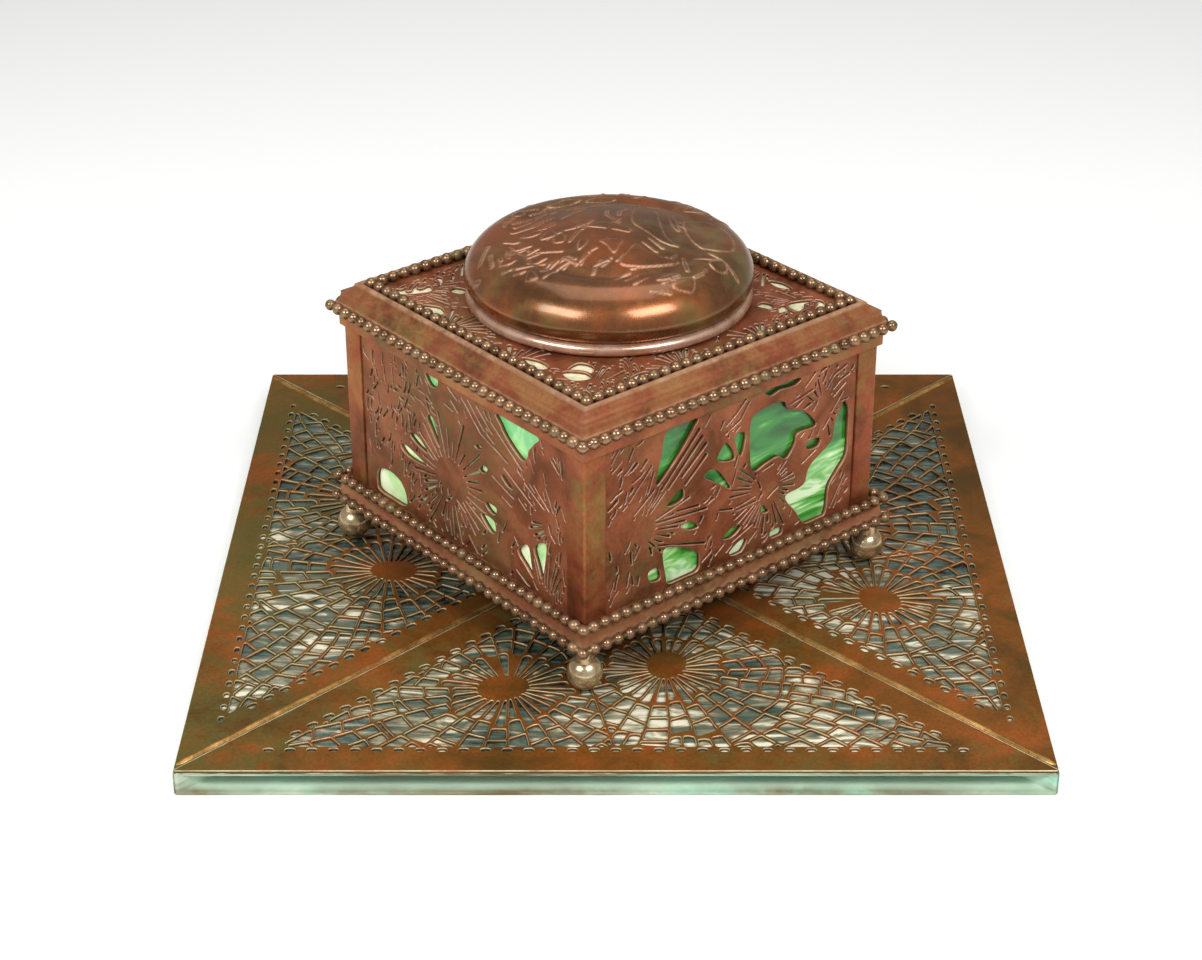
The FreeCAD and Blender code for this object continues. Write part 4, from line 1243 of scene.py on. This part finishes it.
def bead_row(node, per_side, sizes, seed):
    """One pearled wire round the box: a bead on every corner and an even row between them."""
    low, high = own_span(node)
    wire = (high[2] - low[2]) / 2
    half, z = high[0] - wire, (high[2] + low[2]) / 2
    corners = [on_side(turn, -half, half, z) for turn in range(4)]
    edges = [(k, (k + 1) % 4) for k in range(4)]
    tree = bpy.data.node_groups.get("Pearled wire") or pearled_wire_tree()
    radius = min(sizes.bead_radius, 0.485 * 2 * half / per_side)
    values = {"Beads": 4 * per_side, "Bead Radius": radius * MM, "Core Radius": 0.75 * MM,
              "Seed": seed, "Material": finish_of("bead")}
    return grown(node.replace("_wire", "s"), corners, edges, tree, values)


# ---- Top plate, feet, mouth and pot --------------------------------------------------------------
FLANGE = 2.5               # how far the mouth ring's flange reaches past its wall


def corners_of(a, b):
    """Lowest and highest corner of the rectangle between two points."""
    return (min(a[0], b[0]), min(a[1], b[1])), (max(a[0], b[0]), max(a[1], b[1]))


def top_cut_work(half, mouth):
    """Openings of the top plate: leaves, needles and small strokes round the mouth.

    Every corner but the front one has a broad leaf too.
    """
    work = CutWork((-half, -half), (half, half), 0.2)
    chance = random.Random(17)
    for turn in range(4):
        spin = math.radians(90 * turn)

        def at(x, y):
            """A point of the first corner, turned to this one."""
            return (x * math.cos(spin) - y * math.sin(spin), x * math.sin(spin) + y * math.cos(spin))

        leaves = [[(-39.5, -31.5), (-37.5, -27.0), (-33.0, -30.5), (-35.0, -33.6)],
                  [(-28.0, -39.8), (-22.5, -40.6), (-19.0, -38.6), (-24.0, -37.4)],
                  [(-40.6, -21.5), (-39.4, -15.0), (-37.2, -18.0), (-38.0, -22.5)],
                  [(-33.2, -27.4), (-29.0, -25.4), (-27.2, -28.8), (-31.0, -30.4)]]
        if turn:
            broad = [(-40.6, -37.2), (-38.6, -31.8), (-34.2, -31.4), (-32.4, -34.0), (-36.4, -40.6)]
            work.opening([at(x, y) for x, y in broad])
        for leaf in leaves:
            middle_x, middle_y = (sum(side) / len(leaf) for side in zip(*leaf))
            size, dx, dy = chance.uniform(0.8, 1.2), chance.uniform(-2, 2), chance.uniform(-1, 1)
            work.opening([at(middle_x + dx + (x - middle_x) * size * chance.uniform(0.7, 1.3),
                             middle_y + dy + (y - middle_y) * size * chance.uniform(0.7, 1.3))
                          for x, y in leaf])
        hub = at(-37.0, -37.0)
        for start, end, count in ((5, 30, 4), (32, 62, 5), (64, 88, 4)):
            work.fan(hub, 5.0, 15.0, start + 90 * turn, end + 90 * turn, count, 0.42,
                     seed=40 + turn * 3 + count)
        side_hub = at(-12.0, -43.5)
        work.fan(side_hub, 3.0, 12.0, 15 + 90 * turn, 165 + 90 * turn, 12, 0.36, seed=60 + turn)
        other = at(14.0, -43.5)
        work.fan(other, 3.0, 11.0, 15 + 90 * turn, 165 + 90 * turn, 11, 0.36, seed=70 + turn)
        low, high = corners_of(at(-41, -41), at(-10, -31))
        work.dashes(low, high, 60, 50 + 90 * turn, 80 + turn, length=2.8)
        low, high = corners_of(at(-10, -41.5), at(38, -36))
        work.dashes(low, high, 46, 30 + 90 * turn, 90 + turn, length=2.8)
    collar, border = 3.4, 4.2
    from_mouth = np.hypot(work.x, work.y) - mouth - collar
    to_edge = half - border - np.maximum(np.abs(work.x), np.abs(work.y))
    work.depth = np.minimum(work.depth, np.minimum(from_mouth, to_edge))
    return work


def top_tracery(sizes):
    """Pierced top plate with its round mouth."""
    low, high = own_span("top_grille")
    half, thickness = high[0], high[2] - low[2]
    mouth = (span("mouth_collar")[1].x - span("mouth_collar")[0].x) / 2 - FLANGE
    work = top_cut_work(half, mouth)
    turns = np.linspace(0, math.tau, 180, endpoint=False)
    mouth_loop = mouth * np.column_stack([np.cos(turns), np.sin(turns)])
    outline = [(-half, -half), (half, -half), (half, half), (-half, half)]
    return pierced_sheet("top_tracery", outline, work.outlines(0.36, 0.35) + [mouth_loop], thickness,
                         sizes.lip, lambda u, v, w: TO_BOX @ Vector((u, v, low[2] + w)),
                         finish_of("box"))


def ball_foot(corner):
    """Ball foot with a short flared neck."""
    low, high = span("ball_foot_" + corner)
    centre = (low + high) / 2
    radius = (high.x - low.x) / 2
    middle, top = low.z + radius, high.z
    neck, stud = 2.2, 1.25
    profile = traced([
        [(0, low.z), (radius * 0.7071, middle - radius * 0.7071), (radius, middle)],
        [(radius, middle), (radius * 0.82, middle + radius * 0.5724),
         (neck + 0.5, middle + math.sqrt(radius ** 2 - (neck + 0.5) ** 2))],
        [(neck + 0.5, middle + math.sqrt(radius ** 2 - (neck + 0.5) ** 2)), (neck, top)],
        [(neck, top), (stud, top)],
        [(stud, top), (stud, middle + 0.5)],
        [(stud, middle + 0.5), (0, middle + 0.5)],
    ], 14)
    return lathed("ball_foot_%s_turned" % corner, profile, centre, finish_of("foot"), 48)


def mouth_ring():
    """Flanged ring that lines the mouth, its flange rolled over at both edges."""
    low, high = span("mouth_collar")
    outer = (high.x - low.x) / 2
    wall = outer - FLANGE
    bore = wall - 1.2
    sheet = 0.6
    top = high.z
    profile = traced([
        [(bore, low.z), (wall, low.z)],
        [(wall, low.z), (wall, top - sheet)],
        [(wall, top - sheet), (outer - 0.3, top - sheet)],
        [(outer - 0.3, top - sheet), (outer, top - sheet / 2), (outer - 0.3, top)],
        [(outer - 0.3, top), (bore + 0.3, top)],
        [(bore + 0.3, top), (bore + 0.09, top - 0.09), (bore, top - 0.3)],
        [(bore, top - 0.3), (bore, low.z)],
    ], 6)
    return lathed("mouth_ring", profile, BOX_CENTRE, finish_of("moulding"), 128)


def glass_pot():
    """Clear pot with a rounded rim, foot ring and inside."""
    low, high = span("ink_pot")
    rim_outer = (high.x - low.x) / 2
    body = rim_outer - 4.2
    inner = body - 3.0
    foot, top = low.z, high.z
    floor = foot + 5.0
    rim = 1.4
    bend = 7.0
    turn = bend * (1 - math.cos(math.radians(45)))
    profile = traced([
        [(0, foot + 0.8), (body - bend - 4, foot + 0.8)],
        [(body - bend - 4, foot + 0.8), (body - bend - 3, foot)],
        [(body - bend - 3, foot), (body - bend, foot)],
        [(body - bend, foot), (body - turn, foot + turn), (body, foot + bend)],
        [(body, foot + bend), (body, top - rim)],
        [(body, top - rim), (rim_outer - 0.5, top - rim)],
        [(rim_outer - 0.5, top - rim), (rim_outer, top - rim / 2), (rim_outer - 0.5, top)],
        [(rim_outer - 0.5, top), (inner + 0.5, top)],
        [(inner + 0.5, top), (inner + 0.15, top - 0.15), (inner, top - 0.5)],
        [(inner, top - 0.5), (inner, floor + bend)],
        [(inner, floor + bend), (inner - turn, floor + turn), (inner - bend, floor)],
        [(inner - bend, floor), (0, floor)],
    ], 10)
    return lathed("glass_pot", profile, BOX_CENTRE, finish_of("pot"), 96)


# ---- Lid -----------------------------------------------------------------------------------------
def lid_sizes():
    """Named radii and heights of the lid, from its CAD box."""
    low, high = span("lid_dome")
    radius = (high.x - low.x) / 2
    return {"radius": radius, "foot": low.z, "waist": low.z + 4.2, "shoulder_r": radius - 12.0,
            "shoulder": high.z - 2.8, "top": high.z, "neck": radius - 1.9}


def crown(size):
    """Outer profile of the lid from its foot to its centre."""
    radius, shoulder_r = size["radius"], size["shoulder_r"]
    round_r = shoulder_r + (radius - shoulder_r) * 0.70
    round_z = size["waist"] + (size["shoulder"] - size["waist"]) * 0.72
    centre_r = shoulder_r - 1.6
    rise = size["top"] - size["shoulder"]
    ball = (centre_r ** 2 + rise ** 2) / (2 * rise)
    middle = size["top"] - ball + math.sqrt(ball ** 2 - centre_r ** 2 / 4)
    side = (size["foot"] + size["waist"]) / 2
    return [
        [(size["neck"], size["foot"]), (radius - 0.4, side), (radius, size["waist"])],
        [(radius, size["waist"]), (round_r, round_z), (shoulder_r, size["shoulder"])],
        [(shoulder_r, size["shoulder"]), (shoulder_r - 0.8, size["shoulder"] - 0.12),
         (centre_r, size["shoulder"])],
        [(centre_r, size["shoulder"]), (centre_r / 2, middle), (0, size["top"])],
    ]


def lid_drawing(radius):
    """Raised drawing of the lid, seen from above: broad leaves, slender leaves and pine needles."""
    work = CutWork((-radius, -radius), (radius, radius), 0.16)
    for leaf in (
            [(2.8, -18.4), (4.6, -13.0), (6.8, -8.4), (9.0, -11.6), (13.4, -14.2), (17.4, -15.2),
             (14.0, -17.6), (7.8, -19.3)],
            [(-2.3, -7.0), (3.2, -6.6), (2.6, -9.6), (1.2, -13.4), (-0.6, -9.6)],
            [(7.0, 15.8), (10.6, 16.2), (12.4, 13.9), (13.0, 5.6), (14.4, -3.2), (17.6, -7.8),
             (13.6, -6.6), (10.0, -1.8), (6.0, 5.1)],
            [(15.6, 13.2), (17.2, 9.0), (18.0, 1.6), (16.2, 4.4)],
            [(19.4, 8.9), (20.2, -0.8), (23.1, -6.1), (27.5, -8.2), (31.2, -5.6), (31.6, 1.0),
             (28.6, 7.0), (24.0, 9.9)],
            [(-5.6, 1.6), (-1.4, 4.0), (4.6, 0.9), (5.2, -2.2), (0.8, -0.6)],
            [(-25.4, 14.6), (-23.6, 17.2), (-21.8, 15.8), (-23.4, 13.8)],
            [(-28.8, 11.4), (-26.4, 12.8), (-25.2, 11.2), (-27.2, 10.0)],
            [(-22.6, -0.4), (-18.8, 1.6), (-17.2, 0.2), (-20.0, -1.4)],
            [(-17.4, -3.9), (-15.0, 1.2), (-13.8, -2.6)],
            [(-13.6, -2.6), (-11.2, -2.8), (-11.6, -6.6), (-14.0, -6.4)],
            [(-7.4, -6.2), (-5.4, -6.4), (-6.0, -9.2), (-7.8, -11.4)],
            [(15.8, -27.8), (17.2, -24.4), (20.8, -23.2), (20.4, -27.2)],
            [(11.6, -25.6), (15.8, -22.2), (17.4, -22.8), (13.8, -25.4)],
            [(-20.6, -24.2), (-19.6, -20.2), (-17.8, -23.8)],
            [(-27.4, -15.4), (-25.8, -13.6), (-23.0, -13.8), (-25.0, -16.0)],
            [(25.0, -15.0), (28.6, -12.8), (29.4, -16.2), (26.8, -17.8)],
            [(-6.0, 24.0), (-2.8, 26.4), (1.8, 25.6), (-1.2, 23.2)],
            [(-16.4, 20.2), (-11.0, 24.6), (-7.4, 25.0), (-11.6, 20.8)],
            [(19.6, 17.4), (22.6, 21.4), (26.6, 19.0), (23.4, 16.6)]):
        work.opening(leaf, 0.5)
    work.strokes([
        [(-24.8, 8.8), (-20.8, 12.2)], [(-24.4, 6.4), (-20.0, 9.0), (-17.2, 13.4)],
        [(-25.0, 3.1), (-19.0, 5.0), (-14.6, 9.9)], [(-21.4, 4.2), (-16.4, 8.4)],
        [(-20.4, 14.8), (-14.4, 19.0)], [(-18.4, 12.6), (-12.0, 17.6)], [(-12.2, 8.6), (-6.4, 15.8)],
        [(-10.6, 15.6), (-1.6, 19.6)], [(-0.4, 13.4), (-0.6, 9.6), (1.0, 6.6)],
        [(4.4, 15.4), (2.8, 12.8), (2.6, 9.6)], [(-26.6, -3.4), (-23.2, -3.0)],
        [(-24.2, -7.8), (-20.0, -6.6)], [(-20.6, -11.0), (-18.0, -8.8)],
        [(-18.4, -10.6), (-12.0, -11.4)], [(-15.6, -4.2), (-12.2, -0.6)],
        [(-10.0, -6.8), (-7.8, -1.2)], [(10.2, -4.8), (13.4, -9.6)], [(8.6, -7.4), (11.8, -11.6)],
        [(25.2, -10.0), (32.0, -15.6)], [(21.6, -13.0), (29.6, -13.4)],
        [(18.6, -13.4), (19.4, -20.2)], [(-16.8, -20.6), (-15.0, -16.8)],
        [(-16.2, -24.0), (-13.0, -19.6)], [(-11.4, -14.6), (-8.0, -18.0)],
        [(4.0, -26.4), (6.0, -23.8)], [(6.2, -28.0), (9.2, -24.6)], [(-30.6, -4.0), (-32.6, -10.6)],
        [(18.2, 22.6), (22.8, 24.6)], [(16.4, 24.8), (20.6, 27.6)], [(26.4, 12.8), (31.0, 14.2)],
        [(-2.0, 28.6), (-1.2, 32.4)], [(2.4, 28.4), (4.4, 32.0)], [(10.4, -30.2), (15.0, -29.4)]],
        0.32, 0.5)
    for (x, y), bearing, count, seed in (((-16, -14), 30, 9, 1), ((-4, -19), 60, 10, 2),
                                         ((14, -20), 40, 6, 3), ((-22, 10), 50, 7, 4),
                                         ((-6, 6), 40, 5, 5), ((20, 14), 130, 5, 6),
                                         ((4, 22), 20, 7, 7), ((-14, 22), 30, 5, 8),
                                         ((26, -2), 110, 3, 9), ((-28, -8), 100, 7, 10)):
        work.dashes((x - 9, y - 7), (x + 9, y + 7), count, bearing, 100 + seed, 4.2, 0.32, 0.5)
    return work


def lid_shell():
    """Cushion-shaped shell with a low raised drawing, a little out of true from long use.

    The point attribute rim is 1 along the drawing's outlines, which the material paints lighter, partly as
    wear and partly as painted highlight.
    """
    size = lid_sizes()
    raised, slope, outline_wear_and_highlight_width = 0.24, 0.4, 0.33
    segments, rings, wall = 640, 116, 1.2
    work = lid_drawing(size["radius"] + 1.0)
    upper = traced(crown(size), 60) + [(0, size["top"])]
    lengths = [0.0]
    for (r0, z0), (r1, z1) in zip(upper, upper[1:]):
        lengths.append(lengths[-1] + math.hypot(r1 - r0, z1 - z0))
    wanted = np.linspace(0, lengths[-1], rings)
    outer = list(zip(np.interp(wanted, lengths, [r for r, _ in upper]),
                     np.interp(wanted, lengths, [z for _, z in upper])))
    inner = [(outer[0][0] - wall, outer[0][1])]
    for k in range(12, len(outer) - 4, 12):
        (r0, z0), (r1, z1) = outer[k - 1], outer[k + 1]
        length = math.hypot(r1 - r0, z1 - z0)
        inner.append((outer[k][0] + wall * (z0 - z1) / length, outer[k][1] + wall * (r1 - r0) / length))
    inner.append((0.0, size["top"] - wall))
    shell = lathed("lid_shell", outer + inner[::-1], BOX_CENTRE, finish_of("lid"), segments, 60)
    rim = []
    moved = [vertex.co / MM for vertex in shell.data.vertices]
    upright = [vertex.normal.z for vertex in shell.data.vertices]
    for point, facing in zip(moved, upright):
        x, y = point.x - BOX_CENTRE.x, point.y - BOX_CENTRE.y
        depth = work.at((x, y)) if facing > 0.25 and math.hypot(x, y) > 0.5 else UNCUT
        share = min(1.0, max(0.0, 0.5 + depth / slope))
        # Width of the pale band along each outline: rubbed wear and painted highlight.
        rim.append(max(0.0, 1 - abs(depth) / outline_wear_and_highlight_width))
        point.z += raised * share + 0.10 * noise.noise(point * 0.07)
    shell.data.vertices.foreach_set("co", [number * MM for point in moved for number in point])
    shell.data.attributes.new("rim", "FLOAT", "POINT").data.foreach_set("value", rim)
    shell.data.update()
    return shell


def lid_ring():
    """Rolled ring round the lid's foot."""
    low, high = span("lid_rim")
    outer = (high.x - low.x) / 2
    roll = (high.z - low.z) / 2
    centre_r, inner_r = outer - roll, outer - roll - 2.3
    profile = traced([
        [(inner_r, low.z), (centre_r, low.z)],
        [(centre_r, low.z), (outer, low.z + roll), (centre_r, high.z)],
        [(centre_r, high.z), (inner_r, high.z)],
        [(inner_r, high.z), (inner_r, low.z)],
    ], 16)
    return lathed("lid_ring", profile, BOX_CENTRE, finish_of("rim"), 200)


# ---- Settings ------------------------------------------------------------------------------------
class InkwellSizes(bpy.types.PropertyGroup):
    """Sizes, in millimetres, that the frame leaves open."""

    bead_radius: FloatProperty(name="Bead radius", default=1.55, min=0.5, max=2.0,
                               description="Radius of the pearled wires' beads, in millimetres")
    cornice_beads: IntProperty(name="Cornice beads", default=30, min=8,
                               description="Beads on each side of the cornice")
    base_beads: IntProperty(name="Base beads", default=30, min=8,
                            description="Beads on each side of the base's upper wire")
    foot_beads: IntProperty(name="Foot beads", default=28, min=8,
                            description="Beads on each side of the base's lower wire")
    top_beads: IntProperty(name="Top beads", default=25, min=8,
                           description="Beads on each side of the top plate")
    lip: FloatProperty(name="Rubbed edge", default=0.11, min=0.02, max=0.4,
                       description="Width of the rounded edge of an opening, in millimetres")
    web_bar: FloatProperty(name="Web bar", default=0.66, min=0.4, max=2.0,
                           description="Width of the bars of the stand's web, in millimetres")
    border_inset: FloatProperty(name="Border inset", default=8.5, min=4.0, max=16.0,
                                description="How far in the rows of small holes run, in millimetres")
    border_pitch: FloatProperty(name="Border pitch", default=5.2, min=2.0, max=10.0,
                                description="Spacing of the small holes, in millimetres")


class InkwellStudio(bpy.types.PropertyGroup):
    """Camera and light."""

    distance: FloatProperty(name="Camera distance", default=0.7415, unit="LENGTH",
                            description="Distance from the camera to the point it looks at")
    elevation: FloatProperty(name="Camera elevation", default=math.radians(28.9), subtype="ANGLE",
                             description="Height of the camera above the horizon")
    lens: FloatProperty(name="Focal length", default=76.35, unit="CAMERA",
                        description="Focal length on a 36 mm wide sensor")
    light: FloatProperty(name="Softbox power", default=4.4, unit="POWER",
                         description="Power of each softbox")
    paper: FloatVectorProperty(name="Background", default=linear("#f7f7f6")[:3], subtype="COLOR",
                               description="Colour of the light all round")


# ---- Operators -----------------------------------------------------------------------------------
class INKWELL_OT_stand(bpy.types.Operator):
    """Builds the four blotter corners: pierced tops, folded edges and open pockets"""

    bl_idname = "inkwell.stand"
    bl_label = "Blotter corners"

    def execute(self, context):
        sizes = context.scene.inkwell_sizes
        openings = stand_cut_work(sizes).outlines(0.5, 0.6)
        gap = 0.28
        half = STAND_HALF
        outline = [(gap - half, -half), (half - gap, -half), (0, -gap)]
        low = STAND_TOP - STAND_SHEET
        for turn, section in enumerate(SECTIONS):
            body = "stand_" + section
            tracery = pierced_sheet(body + "_tracery", outline, openings, STAND_SHEET, sizes.lip,
                                    turned_place(turn, low), finish_of("stand"))
            settle(tracery, body, "stand_bronze", body + "_top")
            if section in ("left", "right"):
                edge = folded_edge(body + "_folded_edge", turn, finish_of("edge"))
                settle(edge, body, "stand_bronze")
            sleeve = softened(body + "_pocket", body + "_sleeve", finish_of("pocket"), 0.3)
            settle(sleeve, body, "pocket_bronze", body + "_pocket")
        return {"FINISHED"}


class INKWELL_OT_walls(bpy.types.Operator):
    """Builds the four pierced walls and the corner posts between them"""

    bl_idname = "inkwell.walls"
    bl_label = "Walls and posts"

    def execute(self, context):
        sizes = context.scene.inkwell_sizes
        for turn, side in enumerate(SIDES):
            settle(side_tracery(turn, sizes), "box", "box_bronze", "side_grille_" + side)
        for corner in CORNERS:
            node = "corner_post_" + corner
            post = softened(node, node + "_eased", finish_of("moulding"), 0.25, 3)
            settle(post, "box", "box_bronze", node)
        return {"FINISHED"}


class INKWELL_OT_mouldings(bpy.types.Operator):
    """Builds the cornice and the base moulding"""

    bl_idname = "inkwell.mouldings"
    bl_label = "Cornice and base"

    def execute(self, context):
        material = finish_of("moulding")
        profile = cornice_profile()
        top = max(z for _, z in profile)
        roll = [(d, z) for d, z in profile if z > top - 0.5]
        nose = [max(profile, key=lambda point: point[0] + 0.01 * point[1])]
        # The rolled upper edge and the nose are painted lighter, partly as wear and partly as painted
        # highlight.
        cornice = square_moulding("cornice_frame", profile, wear_and_highlight_of(profile, roll + nose), material)
        settle(cornice, "box", "box_bronze", *["cornice_" + side for side in SIDES])
        profile = base_moulding_profile()
        nose = [max(profile)]
        # The whole base band is at least 0.3 of the way to the rubbed colour, and more at its nose.
        base = square_moulding("base_frame", profile, wear_and_highlight_of(profile, nose, 0.3), material)
        settle(base, "box", "box_bronze", *["base_moulding_" + side for side in SIDES])
        return {"FINISHED"}


class INKWELL_OT_beads(bpy.types.Operator):
    """Strings the four pearled wires"""

    bl_idname = "inkwell.beads"
    bl_label = "Pearled wires"

    def execute(self, context):
        sizes = context.scene.inkwell_sizes
        rows = {"cornice_bead_wire": sizes.cornice_beads, "base_upper_bead_wire": sizes.base_beads,
                "base_lower_bead_wire": sizes.foot_beads, "top_bead_wire": sizes.top_beads}
        for seed, (node, count) in enumerate(rows.items()):
            settle(bead_row(node, count, sizes, seed), "box", "bead_bronze", node)
        return {"FINISHED"}


class INKWELL_OT_top(bpy.types.Operator):
    """Builds the pierced top plate, the mouth's ring and the glass pot"""

    bl_idname = "inkwell.top"
    bl_label = "Top plate, mouth and pot"

    def execute(self, context):
        settle(top_tracery(context.scene.inkwell_sizes), "box", "box_bronze", "top_grille")
        settle(mouth_ring(), "box", "inner_bronze", "mouth_collar")
        settle(glass_pot(), "box", "pot_glass", "ink_pot")
        return {"FINISHED"}


class INKWELL_OT_feet(bpy.types.Operator):
    """Turns the four ball feet"""

    bl_idname = "inkwell.feet"
    bl_label = "Ball feet"

    def execute(self, context):
        for corner in CORNERS:
            settle(ball_foot(corner), "box", "foot_bronze", "ball_foot_" + corner)
        return {"FINISHED"}


class INKWELL_OT_lid(bpy.types.Operator):
    """Builds the domed lid with its low relief, and its rolled rim"""

    bl_idname = "inkwell.lid"
    bl_label = "Lid"

    def execute(self, context):
        settle(lid_shell(), "lid", "lid_bronze", "lid_dome")
        settle(lid_ring(), "lid", "lid_bronze", "lid_rim")
        return {"FINISHED"}


class INKWELL_OT_hinge(bpy.types.Operator):
    """Eases the edges of the hinge's leaves and its pin"""

    bl_idname = "inkwell.hinge"
    bl_label = "Hinge"

    def execute(self, context):
        fixed = softened("box_hinge_leaf", "fixed_hinge_leaf", finish_of("moulding"), 0.12)
        settle(fixed, "box", "inner_bronze", "box_hinge_leaf")
        moving = softened("lid_hinge_leaf", "moving_hinge_leaf", finish_of("moulding"), 0.12)
        settle(moving, "lid", "inner_bronze", "lid_hinge_leaf")
        pin = softened("hinge_pin", "headed_hinge_pin", finish_of("brass"), 0.12)
        settle(pin, "box", "hinge_brass", "hinge_pin")
        return {"FINISHED"}


class INKWELL_OT_finishes(bpy.types.Operator):
    """Gives the CAD parts that stay, such as the glasses and fittings, their materials"""

    bl_idname = "inkwell.finishes"
    bl_label = "Glass and fittings"

    def execute(self, context):
        finishes = {"side_glass_left": "mint", "side_glass_right": "green",
                    "side_glass_far_left": "green", "side_glass_far_right": "mint",
                    "top_glass": "cream", "bottom_plate": "inner", "glass_clips": "inner",
                    "foot_studs": "inner", "lid_liner": "inner"}
        for section in SECTIONS:
            finishes["stand_%s_glass" % section] = "smoke"
            finishes["stand_%s_backing" % section] = "pocket"
        for node, key in finishes.items():
            mesh = frame["nodes"][node].data
            mesh.materials.clear()
            mesh.materials.append(finish_of(key))
        return {"FINISHED"}


class INKWELL_OT_stage(bpy.types.Operator):
    """Sets the pale floor, the soft studio light and the camera"""

    bl_idname = "inkwell.stage"
    bl_label = "Studio"

    def execute(self, context):
        studio = context.scene.inkwell_studio
        build_floor()
        build_lights(studio)
        build_camera(studio)
        context.scene.view_settings.view_transform = "Standard"
        return {"FINISHED"}


def build_floor():
    """Large sheet of pale paper just under the stand."""
    half = 4000.0
    corners = [(-half, -half, 0), (half, -half, 0), (half, half, 0), (-half, half, 0)]
    floor = show("floor", mesh_of("floor", corners, [(0, 1, 2, 3)]), finish_of("paper"))
    floor.location.z = CAD_BOX[0].z - 0.02 * MM


def build_lights(studio):
    """White surroundings, two front softboxes and a broad one overhead."""
    world = bpy.data.worlds.new("studio")
    bpy.context.scene.world = world
    world.use_nodes = True
    backdrop = world.node_tree.nodes["Background"]
    backdrop.inputs["Color"].default_value = tuple(studio.paper) + (1.0,)
    backdrop.inputs["Strength"].default_value = 0.42
    low, high = CAD_BOX
    middle = Vector(((low.x + high.x) / 2, (low.y + high.y) / 2, high.z / 2))
    boxes = {"softbox_left": (-42, 38, 0.8, 0.42, 0.24, studio.light),
             "softbox_right": (38, 42, 0.8, 0.42, 0.24, studio.light),
             "softbox_top": (180, 78, 0.9, 0.7, 0.7, studio.light * 0.7)}
    for name, (bearing, height, distance, wide, tall, power) in boxes.items():
        lamp = bpy.data.lights.new(name, "AREA")
        lamp.shape = "RECTANGLE"
        lamp.size, lamp.size_y, lamp.energy = wide, tall, power
        turn, lift = math.radians(bearing), math.radians(height)
        ray = Vector((math.sin(turn) * math.cos(lift), -math.cos(turn) * math.cos(lift),
                      math.sin(lift)))
        light = bpy.data.objects.new(name, lamp)
        light.location = middle + ray * distance
        light.rotation_euler = (-ray).to_track_quat("-Z", "Y").to_euler()
        bpy.context.scene.collection.objects.link(light)


def build_camera(studio):
    """Camera straight in front of the stand, looking down a little past its middle."""
    low, high = CAD_BOX
    target = Vector(((low.x + high.x) / 2 - 0.00355, (low.y + high.y) / 2 + 0.05015, low.z))
    lens = bpy.data.cameras.new("camera")
    lens.lens = studio.lens
    lens.sensor_width = 36
    lens.clip_start, lens.clip_end = 0.01, 50
    ray = Vector((0, -math.cos(studio.elevation), math.sin(studio.elevation)))
    camera = bpy.data.objects.new("camera", lens)
    camera.location = target + ray * studio.distance
    camera.rotation_euler = (-ray).to_track_quat("-Z", "Y").to_euler()
    bpy.context.scene.collection.objects.link(camera)
    bpy.context.scene.camera = camera


class INKWELL_PT_panel(bpy.types.Panel):
    """Lists the pieces and their sizes"""

    bl_idname = "INKWELL_PT_panel"
    bl_label = "Inkwell"
    bl_space_type = "VIEW_3D"
    bl_region_type = "UI"
    bl_category = "Inkwell"

    def draw(self, context):
        for group in (context.scene.inkwell_sizes, context.scene.inkwell_studio):
            for name in group.__annotations__:
                self.layout.prop(group, name)
        for operator in OPERATORS:
            self.layout.operator(operator.bl_idname)


OPERATORS = (INKWELL_OT_stand, INKWELL_OT_walls, INKWELL_OT_mouldings, INKWELL_OT_beads,
             INKWELL_OT_top, INKWELL_OT_feet, INKWELL_OT_lid, INKWELL_OT_hinge,
             INKWELL_OT_finishes, INKWELL_OT_stage)
CLASSES = (InkwellSizes, InkwellStudio) + OPERATORS + (INKWELL_PT_panel,)


def register():
    """Registers the classes and the settings."""
    for item in CLASSES:
        bpy.utils.register_class(item)
    bpy.types.Scene.inkwell_sizes = PointerProperty(type=InkwellSizes)
    bpy.types.Scene.inkwell_studio = PointerProperty(type=InkwellStudio)


def unregister():
    """Takes the settings and classes away again."""
    del bpy.types.Scene.inkwell_studio
    del bpy.types.Scene.inkwell_sizes
    for item in reversed(CLASSES):
        bpy.utils.unregister_class(item)


def main():
    """Builds every piece in order."""
    register()
    bpy.ops.inkwell.stand()
    bpy.ops.inkwell.walls()
    bpy.ops.inkwell.mouldings()
    bpy.ops.inkwell.beads()
    bpy.ops.inkwell.top()
    bpy.ops.inkwell.feet()
    bpy.ops.inkwell.lid()
    bpy.ops.inkwell.hinge()
    bpy.ops.inkwell.finishes()
    bpy.ops.inkwell.stage()


if __name__ == "__main__":
    main()
